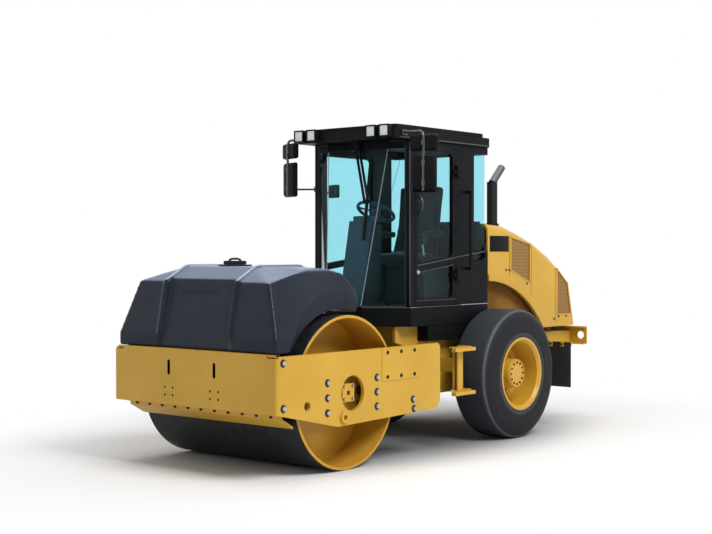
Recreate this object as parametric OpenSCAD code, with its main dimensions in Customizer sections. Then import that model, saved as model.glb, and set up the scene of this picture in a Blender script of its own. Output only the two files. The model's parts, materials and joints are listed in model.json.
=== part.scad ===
// Single-drum road roller with a cab. Millimetres, +X to the drum end, +Y to the machine's left, +Z up.

/* [Machine] */
// drum to the inner face of the front plate
front_gap = 232; // [200:1:300]
// drum to the crossmember
cross_gap = 55; // [45:1:80]
// depth of the crossmember
cross_t = 70; // [60:1:100]
// crossmember to the steering pin
hitch_reach = 215; // [205:1:240]
// rear tyre to the bulkhead ahead of it
bulk_gap = 212; // [200:1:260]
// rear axle to the back of the bumper
rear_reach = 1758; // [1720:1:1850]

/* [Drum] */
// drum outside diameter
drum_d = 1220; // [1180:1:1240]
// drum width
drum_w = 1700; // [1600:1:1720]
// drum shell thickness
drum_wall = 25; // [15:1:40]
// depth of the heads below the drum's ends
head_recess = 340; // [250:1:400]
// head plate thickness
head_t = 22; // [12:1:40]
// stub axle radius
stub_r = 95; // [70:1:110]

/* [Yoke] */
// gap between the drum's ends and the side plates
side_gap = 29; // [20:1:45]
// side plate thickness
side_t = 30; // [20:1:40]
// top of the side plates above the drum axle
side_rise = 332; // [310:1:350]
// front plate's lower edge below the drum axle
front_drop = 100; // [80:1:120]
// lowest corner of the side plates below the drum axle
side_drop = 247; // [230:1:265]
// rear lower edge of the side plates below the drum axle
rear_drop = 220; // [200:1:240]
// rear end of the side plates behind the drum axle
side_back = 1155; // [1100:1:1180]
// radius of the opening round the drum hub
hub_hole_r = 138; // [125:1:150]
// front plate thickness
front_t = 25; // [16:1:35]
// raised middle of the front plate above the side plates
front_lift = 13; // [6:1:30]
// lifting bore diameter
lift_bore = 70; // [50:1:90]
// lifting bore ahead of the drum axle
lift_x = 531; // [480:1:580]
// lifting bore below the drum axle
lift_drop = 58; // [20:1:80]
// tie-down eye radius
eye_r = 45; // [36:1:55]
// tie-down eye bore
eye_bore = 40; // [30:1:46]
// front bolt pattern spacing across
bolt_dy = 90; // [60:1:120]
// front bolt pattern spacing up
bolt_dz = 60; // [40:1:90]
// front bolt hole diameter
bolt_d = 18; // [12:1:24]
// front bolt pattern from the middle
bolt_y = 255; // [220:1:300]
// front bolt pattern above the drum axle
bolt_rise = 7; // [0:1:50]

/* [Hitch] */
// hitch pin radius
pin_r = 45; // [35:1:55]
// radius of the hitch knuckle
knuckle_r = 115; // [95:1:125]
// height of the hitch middle
hitch_z = 660; // [640:1:680]
// knuckle height
knuckle_h = 180; // [140:1:200]
// hitch ear thickness
ear_t = 40; // [25:1:50]
// gap between knuckle and ears
ear_gap = 8; // [6:1:15]
// running clearance round a turning pin
run_fit = 0.05; // [0.02:0.01:0.1]

/* [Steering cylinders] */
// rod eye ahead of the hitch pin
eye_fore = 120; // [110:1:130]
// rod eye from the middle
eye_side = 250; // [240:1:260]
// barrel pin behind the hitch pin
barrel_back = 570; // [560:1:590]
// barrel pin from the middle
barrel_side = 270; // [260:1:285]
// barrel radius
barrel_r = 42; // [34:1:46]
// rod radius
rod_r = 22; // [16:1:26]

/* [Water tank] */
// tank's lower edge inside the yoke's sides
tank_inset = 29; // [10:1:60]
// lean of the tank's sides
tank_lean = 146; // [110:1:180]
// height of the tank above the front plate
tank_h = 645; // [600:1:680]
// gap between drum and tank
arch_gap = 45; // [30:1:70]
// height of the fender above the arch
fender_h = 135; // [110:1:160]
// tank ribs from the middle
rib_y = 395; // [340:1:440]
// width of a tank rib
rib_w = 44; // [30:1:60]
// standing out of a tank rib
rib_d = 14; // [8:1:20]

/* [Wheels] */
// tyre outside diameter
tyre_d = 1186; // [1150:2:1200]
// tyre width
tyre_w = 400; // [360:2:410]
// gap between the tyres and the cab's sides
tyre_gap = 5; // [5:1:20]
// rim lip radius
rim_r = 334; // [310:1:350]
// rim wall thickness
rim_t = 14; // [8:1:20]

/* [Rear frame] */
// rails inside the cab's sides
rail_inset = 120; // [110:1:135]
// rail thickness
rail_t = 30; // [20:1:40]
// underside of the rails
rail_low = 430; // [400:1:460]
// gap between the rails and the hood
rail_gap = 60; // [45:1:80]
// bumper half width
bumper_y = 620; // [580:1:700]
// gap between the bumper and the hood
bumper_gap = 18; // [14:1:35]
// bumper height
bumper_h = 185; // [160:1:200]
// bumper plate thickness
bumper_t = 12; // [8:1:20]
// tie-down bore through the bumper
bumper_bore = 80; // [60:1:100]

/* [Cab] */
// cab half width
cab_y = 550; // [530:1:565]
// depth of the cab base
base_t = 170; // [150:1:190]
// cab floor height
floor_z = 1230; // [1215:1:1250]
// depth of the roof
roof_t = 125; // [110:1:150]
// top of the roof
roof_top = 2815; // [2800:1:2840]
// roof beyond the cab's sides
roof_over = 24; // [20:1:50]
// side panel thickness
wall_t = 50; // [40:1:60]
// glass thickness
glass_t = 6; // [4:1:10]
// front of the front posts ahead of the rear axle
post_x = 1175; // [1150:1:1195]
// width of a front post
post_w = 74; // [60:1:90]
// front of the windscreen at the floor
nose_low = 1420; // [1390:1:1440]
// front of the windscreen at the roof
nose_high = 1210; // [1195:1:1250]
// half width of the windscreen at the floor
nose_low_y = 200; // [170:1:240]
// half width of the windscreen at the roof
nose_high_y = 350; // [320:1:390]
// door hinge edge ahead of the rear axle
hinge_x = 485; // [460:1:500]
// rear post's back edge ahead of the rear axle
pillar_x = 199; // [160:1:240]
// right rear post behind the left one
pillar_shift = 100; // [0:1:110]
// lower edge of the rear window
rear_sill = 2000; // [1985:1:2060]
// gap round the door
door_gap = 6; // [5:1:9]
// frame width round the door glass
door_frame = 42; // [34:1:60]

/* [Hood] */
// hood inside the cab's sides
hood_inset = 10; // [5:1:30]
// hood shell thickness
hood_t = 18; // [10:1:24]
// rounding of the hood's shoulders
hood_round = 70; // [40:1:90]
// hood underside
hood_low = 960; // [955:1:975]
// radius of the wheel arch
arch_r = 1240; // [1220:1:1250]
// height of the arch centre
arch_z = 199; // [180:1:215]
// standing out of the arch flare
flare_out = 14; // [8:1:14]
// exhaust stack radius
stack_r = 52; // [40:1:60]
// exhaust stack from the middle
stack_y = 300; // [260:1:330]
// length of the exhaust stack above its collar
stack_h = 405; // [340:1:440]

/* [Hidden] */
$fn = 96;
drum_r = drum_d / 2;
drum_z = drum_r;
tyre_r = tyre_d / 2;
axle_z = tyre_r;
front_reach = drum_r + front_gap + front_t;
pivot_back = drum_r + cross_gap + cross_t + hitch_reach;
pivot_fore = barrel_back + 50 + bulk_gap + tyre_r;
wheelbase = pivot_back + pivot_fore;
length = front_reach + wheelbase + rear_reach;
drum_x = length / 2 - front_reach;
axle_x = drum_x - wheelbase;
pivot_x = drum_x - pivot_back;
rear_end = -length / 2;
side_in = drum_w / 2 + side_gap;
side_out = side_in + side_t;
side_top = drum_z + side_rise;
side_low = drum_z - side_drop;
side_front_low = drum_z - front_drop;
side_rear_low = drum_z - rear_drop;
front_top = side_top + front_lift;
lift_z = drum_z - lift_drop;
bolt_z = drum_z + bolt_rise;
head_y = drum_w / 2 - head_recess;
cross_front = drum_x - drum_r - cross_gap;
cross_rear = cross_front - cross_t;
cross_low = hitch_z - 190;
cross_high = hitch_z + 200;
mount_x = 300;
mount_z = [drum_z - 129, drum_z - 14, drum_z + 101];
carrier_y = side_in - 179;
carrier_t = 25;
tank_low_y = side_out - tank_inset;
tank_high_y = tank_low_y - tank_lean;
tank_crown = front_top + tank_h;
tank_arch = drum_r + arch_gap;
tank_nose = front_reach - front_t + 2;
ear_top = hitch_z + knuckle_h / 2 + ear_gap;
ear_low = hitch_z - knuckle_h / 2 - ear_gap;
bulk_x = pivot_x - barrel_back - 50;
bulk_t = 30;
tyre_in = cab_y + tyre_gap;
tyre_out = tyre_in + tyre_w;
rail_y = cab_y - rail_inset;
rail_high = hood_low - rail_gap;
bumper_high = hood_low - bumper_gap;
bumper_low = bumper_high - bumper_h;
base_low = floor_z - base_t;
roof_low = roof_top - roof_t;
roof_y = cab_y + roof_over;
cab_h = roof_low - floor_z;
hood_y = cab_y - hood_inset;
hood_k = (rear_reach - 85) / 1673;
hood_front = axle_x - 45;
hinge_z = hood_low + 15;
hood_hinge_x = axle_x - 1600 * hood_k;
stack_x = axle_x - 472 * hood_k;
stack_foot = 1990;
stack_top = stack_foot + stack_h;
door_front = post_x - post_w;
arch_x = axle_x - 32;
flap_x = axle_x - tyre_r - 264;
step_x = axle_x + tyre_r + 52;
step_out = tyre_out - 25;
desk_x = axle_x + (nose_low + nose_high) / 2;
barrel_pin = [pivot_x - barrel_back, barrel_side, hitch_z];
rod_eye = [pivot_x + eye_fore, eye_side, hitch_z];
cyl_span = norm(rod_eye - barrel_pin);
cyl_turn = atan2(rod_eye[1] - barrel_pin[1], rod_eye[0] - barrel_pin[0]);
door_axis = [axle_x + hinge_x + 4, cab_y + 18];
hinge_heights = [floor_z + 250, roof_low - 270];

yellow = "#D9A520";
black = "#1B1D20";
dark = "#2C2D32";
steel = "#9A9DA2";
glass = "#9AD9E0";

function arc(c, r, a0, a1, n) = [for (i = [0:n]) c + r * [cos(a0 + (a1 - a0) * i / n), sin(a0 + (a1 - a0) * i / n)]];

module along_y(y0, y1) translate([0, y1, 0]) rotate([90, 0, 0]) linear_extrude(y1 - y0) children();
module along_x(x0, x1) translate([x0, 0, 0]) rotate([90, 0, 90]) linear_extrude(x1 - x0) children();
module rod_y(x, z, r, y0, y1) translate([x, y1, z]) rotate([90, 0, 0]) cylinder(h = y1 - y0, r = r);
module rod_x(y, z, r, x0, x1) translate([x0, y, z]) rotate([0, 90, 0]) cylinder(h = x1 - x0, r = r);
module rod_z(x, y, r, z0, z1) translate([x, y, z0]) cylinder(h = z1 - z0, r = r);
module box(a, b) translate(a) cube(b - a);
module both() { children(); mirror([0, 1, 0]) children(); }
module turned_y(x, z) translate([x, 0, z]) rotate([-90, 0, 0]) rotate_extrude() children();
module bar(p, q, r) {
  v = q - p;
  translate(p) rotate([0, acos(v[2] / norm(v)), atan2(v[1], v[0])]) cylinder(h = norm(v), r = r, $fn = 32);
}
module round_plate(w, h, t, r) translate([0, 0, -t / 2]) linear_extrude(t) {
  square([w - 2 * r, h], center = true);
  square([w, h - 2 * r], center = true);
  for (i = [-1, 1], j = [-1, 1]) translate([i * (w / 2 - r), j * (h / 2 - r)]) circle(r = r, $fn = 32);
}
module pane(p) polyhedron(
  points = concat(p, [for (q = p) q - [glass_t, 0, 0]]),
  faces = [[2, 1, 0], [3, 2, 0], [4, 5, 6], [4, 6, 7], [1, 5, 4], [0, 1, 4], [2, 6, 5], [1, 2, 5], [3, 7, 6], [2, 3, 6], [0, 4, 7], [3, 0, 7]]);

// Drum frame

module yoke_front_plate() color(yellow) difference() {
  union() {
    intersection() {
      along_x(drum_x + front_reach - front_t, drum_x + front_reach) polygon([
        [-side_out, side_front_low], [side_out, side_front_low], [side_out, side_top - 14], [side_out - 110, side_top - 14], [side_out - 110 - (front_top - side_top + 14), front_top],
        [-side_out + 110 + (front_top - side_top + 14), front_top], [-side_out + 110, side_top - 14], [-side_out, side_top - 14]]);
      translate([0, 0, side_front_low]) linear_extrude(front_top - side_front_low) {
        translate([drum_x, -side_out + front_t]) square([front_reach, 2 * (side_out - front_t)]);
        translate([drum_x, -side_out]) square([front_reach - front_t, 2 * side_out]);
        for (s = [-1, 1]) translate([drum_x + front_reach - front_t, s * (side_out - front_t)]) circle(r = front_t);
      }
    }
    box([drum_x + front_reach - front_t - 140, -side_in, front_top - 20], [drum_x + front_reach - front_t + 6, side_in, front_top]);
    box([drum_x + front_reach - front_t - 90, -side_in, side_front_low], [drum_x + front_reach - front_t + 6, side_in, side_front_low + 20]);
  }
  for (s = [-1, 1]) {
    for (i = [-1, 1], j = [-1, 1]) rod_x(s * bolt_y + i * bolt_dy / 2, bolt_z + j * bolt_dz / 2, bolt_d / 2, drum_x + front_reach - front_t - 5, drum_x + front_reach + 5);
    box([drum_x + front_reach - front_t - 5, s * bolt_y - 15, bolt_z + 145], [drum_x + front_reach + 5, s * bolt_y + 15, bolt_z + 235]);
    for (z = [145, 235]) rod_x(s * bolt_y, bolt_z + z, 15, drum_x + front_reach - front_t - 5, drum_x + front_reach + 5);
    box([drum_x + front_reach - front_t - 150, s > 0 ? side_in - 90 : -side_in, front_top - 30], [drum_x + front_reach - front_t, s > 0 ? side_in : -side_in + 90, front_top + 5]);
  }
}

module yoke_left_plate() color(yellow) difference() {
  union() {
    along_y(side_in, side_out) polygon([
      [drum_x + front_reach - front_t, side_front_low], [drum_x + front_reach - front_t, side_top], [drum_x - side_back + 30, side_top], [drum_x - side_back, side_top - 30],
      [drum_x - side_back, side_rear_low + 60], [drum_x - side_back + 60, side_rear_low], [drum_x + 180, side_low]]);
    along_y(side_out - 6, side_out + 5) polygon([
      [drum_x - 362, side_top - 10], [drum_x - 862, side_top - 10], [drum_x - 862, side_top - 270], [drum_x - 362, side_top - 270]]);
    rod_y(drum_x + 108, side_low + 68, eye_r, side_in, side_out + 20);
  }
  rod_y(drum_x, drum_z, hub_hole_r, side_in - 5, side_out + 5);
  rod_y(drum_x + lift_x, lift_z, lift_bore / 2, side_in - 5, side_out + 5);
  rod_y(drum_x + 108, side_low + 68, eye_bore / 2, side_in - 5, side_out + 25);
}
module yoke_right_plate() mirror([0, 1, 0]) yoke_left_plate();

module yoke_crossmember() color(yellow) difference() {
  union() {
    box([cross_rear, -side_in, cross_low], [cross_front, side_in, cross_high]);
    for (z = [ear_top, ear_low - ear_t]) {
      box([pivot_x, -knuckle_r, z], [cross_rear + 6, knuckle_r, z + ear_t]);
      rod_z(pivot_x, 0, knuckle_r, z, z + ear_t);
    }
    for (s = [-1, 1], z = [hitch_z + 35, hitch_z - 60]) {
      box([rod_eye[0] - 5, s * eye_side - 55, z], [cross_rear + 6, s * eye_side + 55, z + 25]);
      rod_z(rod_eye[0] - 5, s * eye_side, 55, z, z + 25);
    }
  }
  box([cross_rear + 15, -side_in - 5, cross_low + 15], [cross_front - 15, side_in + 5, cross_high - 15]);
  rod_z(pivot_x, 0, pin_r, ear_low - ear_t - 5, ear_top + ear_t + 5);
}

module hitch_pin() color(steel) union() {
  rod_z(pivot_x, 0, pin_r, ear_low - ear_t - 8, ear_top + ear_t + 8);
  rod_z(pivot_x, 0, pin_r + 20, ear_top + ear_t, ear_top + ear_t + 16);
  rod_z(pivot_x, 0, pin_r + 20, ear_low - ear_t - 16, ear_low - ear_t);
}

module drum_mounts() color(black) both() for (s = [-1, 1], z = mount_z) rod_y(drum_x + s * mount_x, z, 38, carrier_y + carrier_t, side_in);

module drum_carriers() color(yellow) both() union() {
  box([drum_x - mount_x - 60, carrier_y, mount_z[0] - 60], [drum_x + mount_x + 60, carrier_y + carrier_t, mount_z[2] + 60]);
  rod_y(drum_x, drum_z, stub_r + 15, head_y + head_t + 45, carrier_y + 6);
  rod_y(drum_x, drum_z, stub_r, head_y - 20, carrier_y + 6);
  box([drum_x - hub_hole_r * 0.52, carrier_y + carrier_t - 6, drum_z - hub_hole_r * 0.52], [drum_x + hub_hole_r * 0.52, side_out - 45, drum_z + hub_hole_r * 0.52]);
}

module tank_hull() hull() {
    box([drum_x + 540, -tank_low_y, front_top], [drum_x + tank_nose, tank_low_y, front_top + tank_h * 0.16]);
    box([drum_x - 208, -tank_high_y - 70, front_top + tank_h * 0.43], [drum_x + 795, tank_high_y + 70, front_top + tank_h * 0.46]);
    box([drum_x - 250, -tank_high_y - 20, front_top + tank_h * 0.60], [drum_x + 776, tank_high_y + 20, front_top + tank_h * 0.62]);
    box([drum_x - 205, -tank_high_y - 10, front_top + tank_h * 0.74], [drum_x + 700, tank_high_y + 10, front_top + tank_h * 0.75]);
    box([drum_x - 90, -tank_high_y + 6, front_top + tank_h * 0.80], [drum_x + tank_nose - 86, tank_high_y - 6, front_top + tank_h * 0.81]);
    box([drum_x - 110, -tank_high_y + 20, front_top + tank_h * 0.87], [drum_x + 487, tank_high_y - 20, front_top + tank_h * 0.91]);
    box([drum_x + 40, -tank_high_y + 46, front_top + tank_h * 0.96], [drum_x + 300, tank_high_y - 46, front_top + tank_h * 0.965]);
    box([drum_x + 60, -tank_high_y + 380, tank_crown - 5], [drum_x + 540, tank_high_y - 380, tank_crown]);
}
module water_tank() color(dark) difference() {
  union() {
    tank_hull();
    both() along_y(rib_y - rib_w / 2, rib_y + rib_w / 2) polygon([
      [drum_x + tank_nose + rib_d - 20, front_top + tank_h * 0.10], [drum_x + tank_nose - 86 + rib_d, front_top + tank_h * 0.815], [drum_x + 540, tank_crown + rib_d * 0.6], [drum_x + 40, tank_crown + rib_d * 0.6],
      [drum_x - 120, front_top + tank_h * 0.90], [drum_x, front_top + tank_h * 0.60], [drum_x + 600, front_top + tank_h * 0.10]]);
  }
  rod_y(drum_x, drum_z, tank_arch, -tank_low_y - 50, tank_low_y + 50);
  for (s = [-1, 1]) rod_y(drum_x, drum_z, tank_arch + fender_h, s > 0 ? tank_high_y + 30 : -tank_low_y - 50, s > 0 ? tank_low_y + 50 : -tank_high_y - 30);
  translate([drum_x + tank_nose, 0, front_top]) rotate([0, -atan2(86, tank_h * 0.65), 0]) translate([-rib_d, -200, tank_h * 0.66]) cube([60, 400, 24]);
}

module tank_cap() color(black) union() {
  rod_z(drum_x + 386, 0, 135, tank_crown, tank_crown + 12);
  rod_z(drum_x + 386, 0, 85, tank_crown + 6, tank_crown + 42);
}

module scrapers() color(yellow) union() {
  along_y(-side_in + 40, side_in - 40) polygon([
    [drum_x + drum_r + front_gap - 112, side_front_low], [drum_x + drum_r + front_gap - 82, side_front_low], [drum_x + drum_r + front_gap - 82, side_front_low - 45], [drum_x + drum_r + 6, side_front_low - 125],
    [drum_x + drum_r - 2, side_front_low - 110], [drum_x + drum_r + front_gap - 112, side_front_low - 40]]);
  along_y(-side_in + 40, side_in - 40) polygon([
    [cross_rear, cross_low], [cross_rear + 30, cross_low], [cross_rear + 30, cross_low - 20], [drum_x - drum_r + 6, cross_low - 86],
    [drum_x - drum_r - 2, cross_low - 101], [cross_rear, cross_low - 45]]);
}

// Drum

module drum_shell() color(dark) turned_y(drum_x, drum_z) polygon([
  [drum_r - drum_wall, -drum_w / 2], [drum_r - 6, -drum_w / 2], [drum_r, -drum_w / 2 + 6], [drum_r, drum_w / 2 - 6], [drum_r - 6, drum_w / 2], [drum_r - drum_wall, drum_w / 2]]);

module drum_core() color(yellow) turned_y(drum_x, drum_z) polygon(concat(
  [[stub_r + run_fit, -head_y - head_t - 20], [stub_r + 50, -head_y - head_t - 20], [stub_r + 50, -head_y - head_t], [drum_r - drum_wall, -head_y - head_t], [drum_r - drum_wall, -head_y], [stub_r + 90, -head_y]],
  [[stub_r + 90, head_y], [drum_r - drum_wall, head_y], [drum_r - drum_wall, head_y + head_t], [stub_r + 50, head_y + head_t], [stub_r + 50, head_y + head_t + 20], [stub_r + run_fit, head_y + head_t + 20]],
  [[stub_r + run_fit, head_y - 40], [0, head_y - 40], [0, -head_y + 40], [stub_r + run_fit, -head_y + 40]]));

// Rear frame

module rear_frame() color(yellow) difference() {
  union() {
    both() along_y(rail_y - rail_t, rail_y) polygon([
      [pivot_x - 200, base_low], [pivot_x - 200, base_low - 140], [bulk_x, hitch_z + 140], [bulk_x - bulk_t, rail_low], [axle_x + tyre_r - 173, rail_low], [axle_x + 250, axle_z - 130],
      [axle_x - 250, axle_z - 130], [axle_x - 420, rail_low + 40], [rear_end + 258, rail_low + 140], [rear_end + 80, bumper_low + 14], [rear_end + bumper_t, bumper_low + 14],
      [rear_end + bumper_t, rail_high - 10], [rear_end + 258, rail_high], [axle_x - 60, rail_high], [axle_x - 60, base_low]]);
    box([bulk_x - bulk_t, -rail_y + rail_t - 6, rail_low], [bulk_x, rail_y - rail_t + 6, base_low]);
    box([bulk_x - 6, -knuckle_r, hitch_z - knuckle_h / 2], [pivot_x, knuckle_r, hitch_z + knuckle_h / 2]);
    rod_z(pivot_x, 0, knuckle_r, hitch_z - knuckle_h / 2, hitch_z + knuckle_h / 2);
    for (x = [axle_x + 300, axle_x - 1180 * hood_k]) box([x, -rail_y + rail_t - 6, rail_high - 220], [x + 60, rail_y - rail_t + 6, rail_high - 20]);
    box([rear_end + bumper_t, -rail_y + rail_t - 6, bumper_low + 14], [rear_end + bumper_t + 30, rail_y - rail_t + 6, rail_high - 10]);
    for (s = [-1, 1], z = [hitch_z + 34, hitch_z - 62]) {
      box([bulk_x - 6, s * barrel_side - 40, z], [barrel_pin[0], s * barrel_side + 40, z + 28]);
      rod_z(barrel_pin[0], s * barrel_side, 40, z, z + 28);
    }
    for (s = [-1, 1]) {
      rod_z(barrel_pin[0], s * barrel_side, 16, hitch_z - 60, hitch_z + 60);
      box([rear_end + bumper_t, s * 250 - 15, rail_high - 60], [hood_hinge_x + 22, s * 250 + 15, rail_high - 10]);
      box([hood_hinge_x - 22, s * 250 - 15, rail_high - 20], [hood_hinge_x + 22, s * 250 + 15, hinge_z]);
      rod_y(hood_hinge_x, hinge_z, 22, s * 250 - 15, s * 250 + 15);
      rod_y(hood_hinge_x, hinge_z, 11, s * 250 - 50, s * 250 + 50);
      box([flap_x - 28, s > 0 ? rail_y - 6 : -tyre_out, rail_high - 100], [flap_x - 8, s > 0 ? tyre_out : -rail_y + 6, rail_high - 60]);
    }
  }
  rod_z(pivot_x, 0, pin_r + run_fit, 0, roof_top);
  rod_y(axle_x, axle_z, 90.3, -rail_y - 5, rail_y + 5);
}

module rear_axle() color(yellow) union() {
  rod_y(axle_x, axle_z, 90, -tyre_in + 35, tyre_in - 35);
  rod_y(axle_x, axle_z, 180, -150, 150);
  rod_y(axle_x, axle_z, 60, -tyre_in - 60, tyre_in + 60);
  both() rod_y(axle_x, axle_z, 140, rail_y, rail_y + 22);
}

module rear_bumper() color(yellow) difference() {
  union() {
    box([rear_end, -bumper_y, bumper_low], [rear_end + bumper_t, bumper_y, bumper_high]);
    for (z = [bumper_low, bumper_high - bumper_t]) box([rear_end, -bumper_y, z], [rear_end + 78, bumper_y, z + bumper_t]);
  }
  for (s = [-1, 1]) rod_x(s * (bumper_y - 70), (bumper_low + bumper_high) / 2, bumper_bore / 2, rear_end - 5, rear_end + bumper_t + 5);
}

module engine_block() color(dark) union() {
  box([axle_x - 1100 * hood_k, -rail_y + rail_t + 120, rail_high - 180], [axle_x - 330 * hood_k, rail_y - rail_t - 120, rail_high + 520]);
  for (x = [axle_x - 1000 * hood_k, axle_x - 450 * hood_k]) box([x, -rail_y + rail_t, rail_high - 140], [x + 80, rail_y - rail_t, rail_high - 80]);
}

module inner_panels() color(yellow) both() along_y(rail_y, rail_y + 12) polygon([
  [axle_x - 64, rail_high - 60], [axle_x - 64, 1460], [axle_x - 560 * hood_k, 1400], [axle_x - 860 * hood_k, 1240], [axle_x - 1180 * hood_k, 1000], [axle_x - 1180 * hood_k, rail_high - 60]]);

module cab_plan() polygon(concat(
  [[axle_x - 25, -cab_y], [axle_x + post_x - 20, -cab_y], [axle_x + post_x, -cab_y + 30], [axle_x + nose_low, -nose_low_y - 10]],
  [[axle_x + nose_low, nose_low_y + 10], [axle_x + post_x, cab_y - 30], [axle_x + post_x - 20, cab_y], [axle_x - 25, cab_y]]));

module cab_base() color(black) union() {
  translate([0, 0, base_low]) linear_extrude(floor_z - base_low) cab_plan();
  both() box([axle_x + 260, rail_y, base_low - 140], [axle_x + 907, cab_y - 5, base_low + 6]);
}

module quarter_opening(x1) polygon([
  [axle_x - 40, 1700], [axle_x + 60, 1640], [axle_x + x1, 1625], [axle_x + x1, roof_low - 70], [axle_x - 40, roof_low - 70]]);
module quarter_pane(x1) polygon([
  [axle_x + 15, 1667], [axle_x + 60, 1640], [axle_x + x1, 1625], [axle_x + x1, roof_low - 70], [axle_x - 14, roof_low - 70], [axle_x - 14, corner_z(wall_t / 2 + glass_t)], [axle_x + 15, corner_z(wall_t / 2 + glass_t)]]);
function corner_z(inset) = 1700 + inset * (rear_sill - 1700) / 90;
function sill(x, drop) = 1600 - drop + (door_front - x) * 0.122;
module upper_window(x0, x1) polygon([
  [axle_x + x0, sill(x0, 0)], [axle_x + x0, roof_low - 92], [axle_x + x1, roof_low - 92], [axle_x + x1, sill(x1, 0)]]);
module lower_window(x0, x1) polygon([
  [axle_x + x0, floor_z + 70], [axle_x + x0, sill(x0, 60)], [axle_x + x1, sill(x1, 60)], [axle_x + x1, floor_z + 70]]);

module cab_left_side() color(black) difference() {
  union() {
    along_y(cab_y - wall_t, cab_y) difference() {
      translate([axle_x + 15, floor_z]) square([post_x - 15, roof_low - floor_z]);
      translate([axle_x + hinge_x, floor_z - 5]) square([door_front - hinge_x, roof_low - 45 - floor_z + 5]);
      quarter_opening(pillar_x);
    }
    for (z = hinge_heights) {
      for (k = [-30, 42]) {
        box([axle_x + hinge_x - 60, cab_y - 6, z + k], [door_axis[0], cab_y + 18 + 12, z + k + 30]);
        rod_z(door_axis[0], door_axis[1], 12, z + k, z + k + 30);
      }
      rod_z(door_axis[0], door_axis[1], 7, z - 30, z + 72);
    }
    for (z = [floor_z + 330, roof_low - 430]) bar([axle_x + 330, cab_y - 5, z], [axle_x + 330, cab_y + 55, z], 13);
    rod_z(axle_x + 330, cab_y + 55, 13, floor_z + 317, roof_low - 417);
  }
}

module cab_right_side() color(black) along_y(-cab_y, -cab_y + wall_t) difference() {
  translate([axle_x + 15, floor_z]) square([post_x - 15, roof_low - floor_z]);
  upper_window(hinge_x - pillar_shift, door_front - door_frame);
  lower_window(hinge_x - pillar_shift, door_front - door_frame);
  quarter_opening(pillar_x - pillar_shift);
}

module cab_rear() color(black) along_x(axle_x - 25, axle_x + 15) polygon([
  [-cab_y, floor_z], [cab_y, floor_z], [cab_y, 1700], [cab_y - 90, rear_sill], [-cab_y + 90, rear_sill], [-cab_y, 1700]]);

module cab_roof() color(black) union() {
  box([axle_x - 25, -cab_y, roof_low - 70], [axle_x + 15, cab_y, roof_low + 6]);
  translate([0, 0, roof_low]) linear_extrude(roof_top - 40 - roof_low) {
    translate([axle_x - 44, -roof_y + 40]) square([1455, 2 * roof_y - 80]);
    translate([axle_x - 4, -roof_y]) square([1375, 2 * roof_y]);
    for (x = [-4, 1371], s = [-1, 1]) translate([axle_x + x, s * (roof_y - 40)]) circle(r = 40);
  }
  translate([0, 0, roof_top - 46]) linear_extrude(46) {
    translate([axle_x + 20, -roof_y + 70]) square([1340, 2 * roof_y - 140]);
    translate([axle_x + 60, -roof_y + 30]) square([1260, 2 * roof_y - 60]);
    for (x = [60, 1320], s = [-1, 1]) translate([axle_x + x, s * (roof_y - 70)]) circle(r = 40);
  }
}

module cab_glass() color(glass) union() {
  pane([[axle_x + nose_low, -nose_low_y, floor_z], [axle_x + nose_low, nose_low_y, floor_z], [axle_x + nose_high, nose_high_y, roof_low], [axle_x + nose_high, -nose_high_y, roof_low]]);
  both() pane([[axle_x + nose_low, nose_low_y, floor_z], [axle_x + post_x, cab_y - wall_t, floor_z], [axle_x + post_x, cab_y - wall_t, roof_low], [axle_x + nose_high, nose_high_y, roof_low]]);
  along_y(cab_y - wall_t / 2 - glass_t, cab_y - wall_t / 2) quarter_pane(pillar_x);
  along_y(-cab_y + wall_t / 2, -cab_y + wall_t / 2 + glass_t) {
    upper_window(hinge_x - pillar_shift, door_front - door_frame);
    lower_window(hinge_x - pillar_shift, door_front - door_frame);
    quarter_pane(pillar_x - pillar_shift);
  }
  along_x(axle_x - 14, axle_x - 14 + glass_t) polygon([
    [-cab_y + wall_t / 2, corner_z(wall_t / 2)], [-cab_y + 90, rear_sill], [cab_y - 90, rear_sill], [cab_y - wall_t / 2, corner_z(wall_t / 2)], [cab_y - wall_t / 2, roof_low - 70], [-cab_y + wall_t / 2, roof_low - 70]]);
}

module seat_base() color(black) union() {
  box([axle_x + 330, -190, floor_z], [axle_x + 690, 190, floor_z + 60]);
  box([axle_x + 380, -140, floor_z + 50], [axle_x + 640, 140, floor_z + 360]);
  for (s = [-1, 1]) box([axle_x + 330, s * (cab_y - wall_t - 155) - 75, floor_z], [axle_x + 800, s * (cab_y - wall_t - 155) + 75, floor_z + 420]);
}

module seat() color(dark) union() {
  box([axle_x + 300, -240, floor_z + 360], [axle_x + 760, 240, floor_z + 480]);
  along_y(-235, 235) polygon([
    [axle_x + 300, floor_z + 400], [axle_x + 410, floor_z + 400], [axle_x + 320, floor_z + 0.74 * cab_h], [axle_x + 230, floor_z + 0.74 * cab_h]]);
}

module console() color(dark) union() {
  along_y(-130, 130) polygon([
    [axle_x + nose_low - 360, floor_z], [axle_x + nose_low - 90, floor_z], [desk_x - 135, floor_z + 760], [desk_x - 275, floor_z + 720]]);
  bar([desk_x - 235, 0, floor_z + 640], [desk_x - 340, 0, floor_z + 826], 28);
}

module steering_wheel() color(black) translate([desk_x - 340, 0, floor_z + 826]) rotate([0, -atan2(105, 186), 0]) union() {
  rotate_extrude() translate([170, 24]) circle(r = 15, $fn = 24);
  cylinder(h = 34, r = 40);
  for (a = [0, 120, 240]) rotate([0, 90, a + 60]) translate([-22, 0, 30]) cylinder(h = 136, r = 9, $fn = 24);
}

module work_lamps() color(black) for (y = [-500, -350, 350, 500]) box([axle_x + 1411, y * roof_y / 586 - 52, roof_low + 10], [axle_x + 1461, y * roof_y / 586 + 52, roof_top - 11]);

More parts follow.
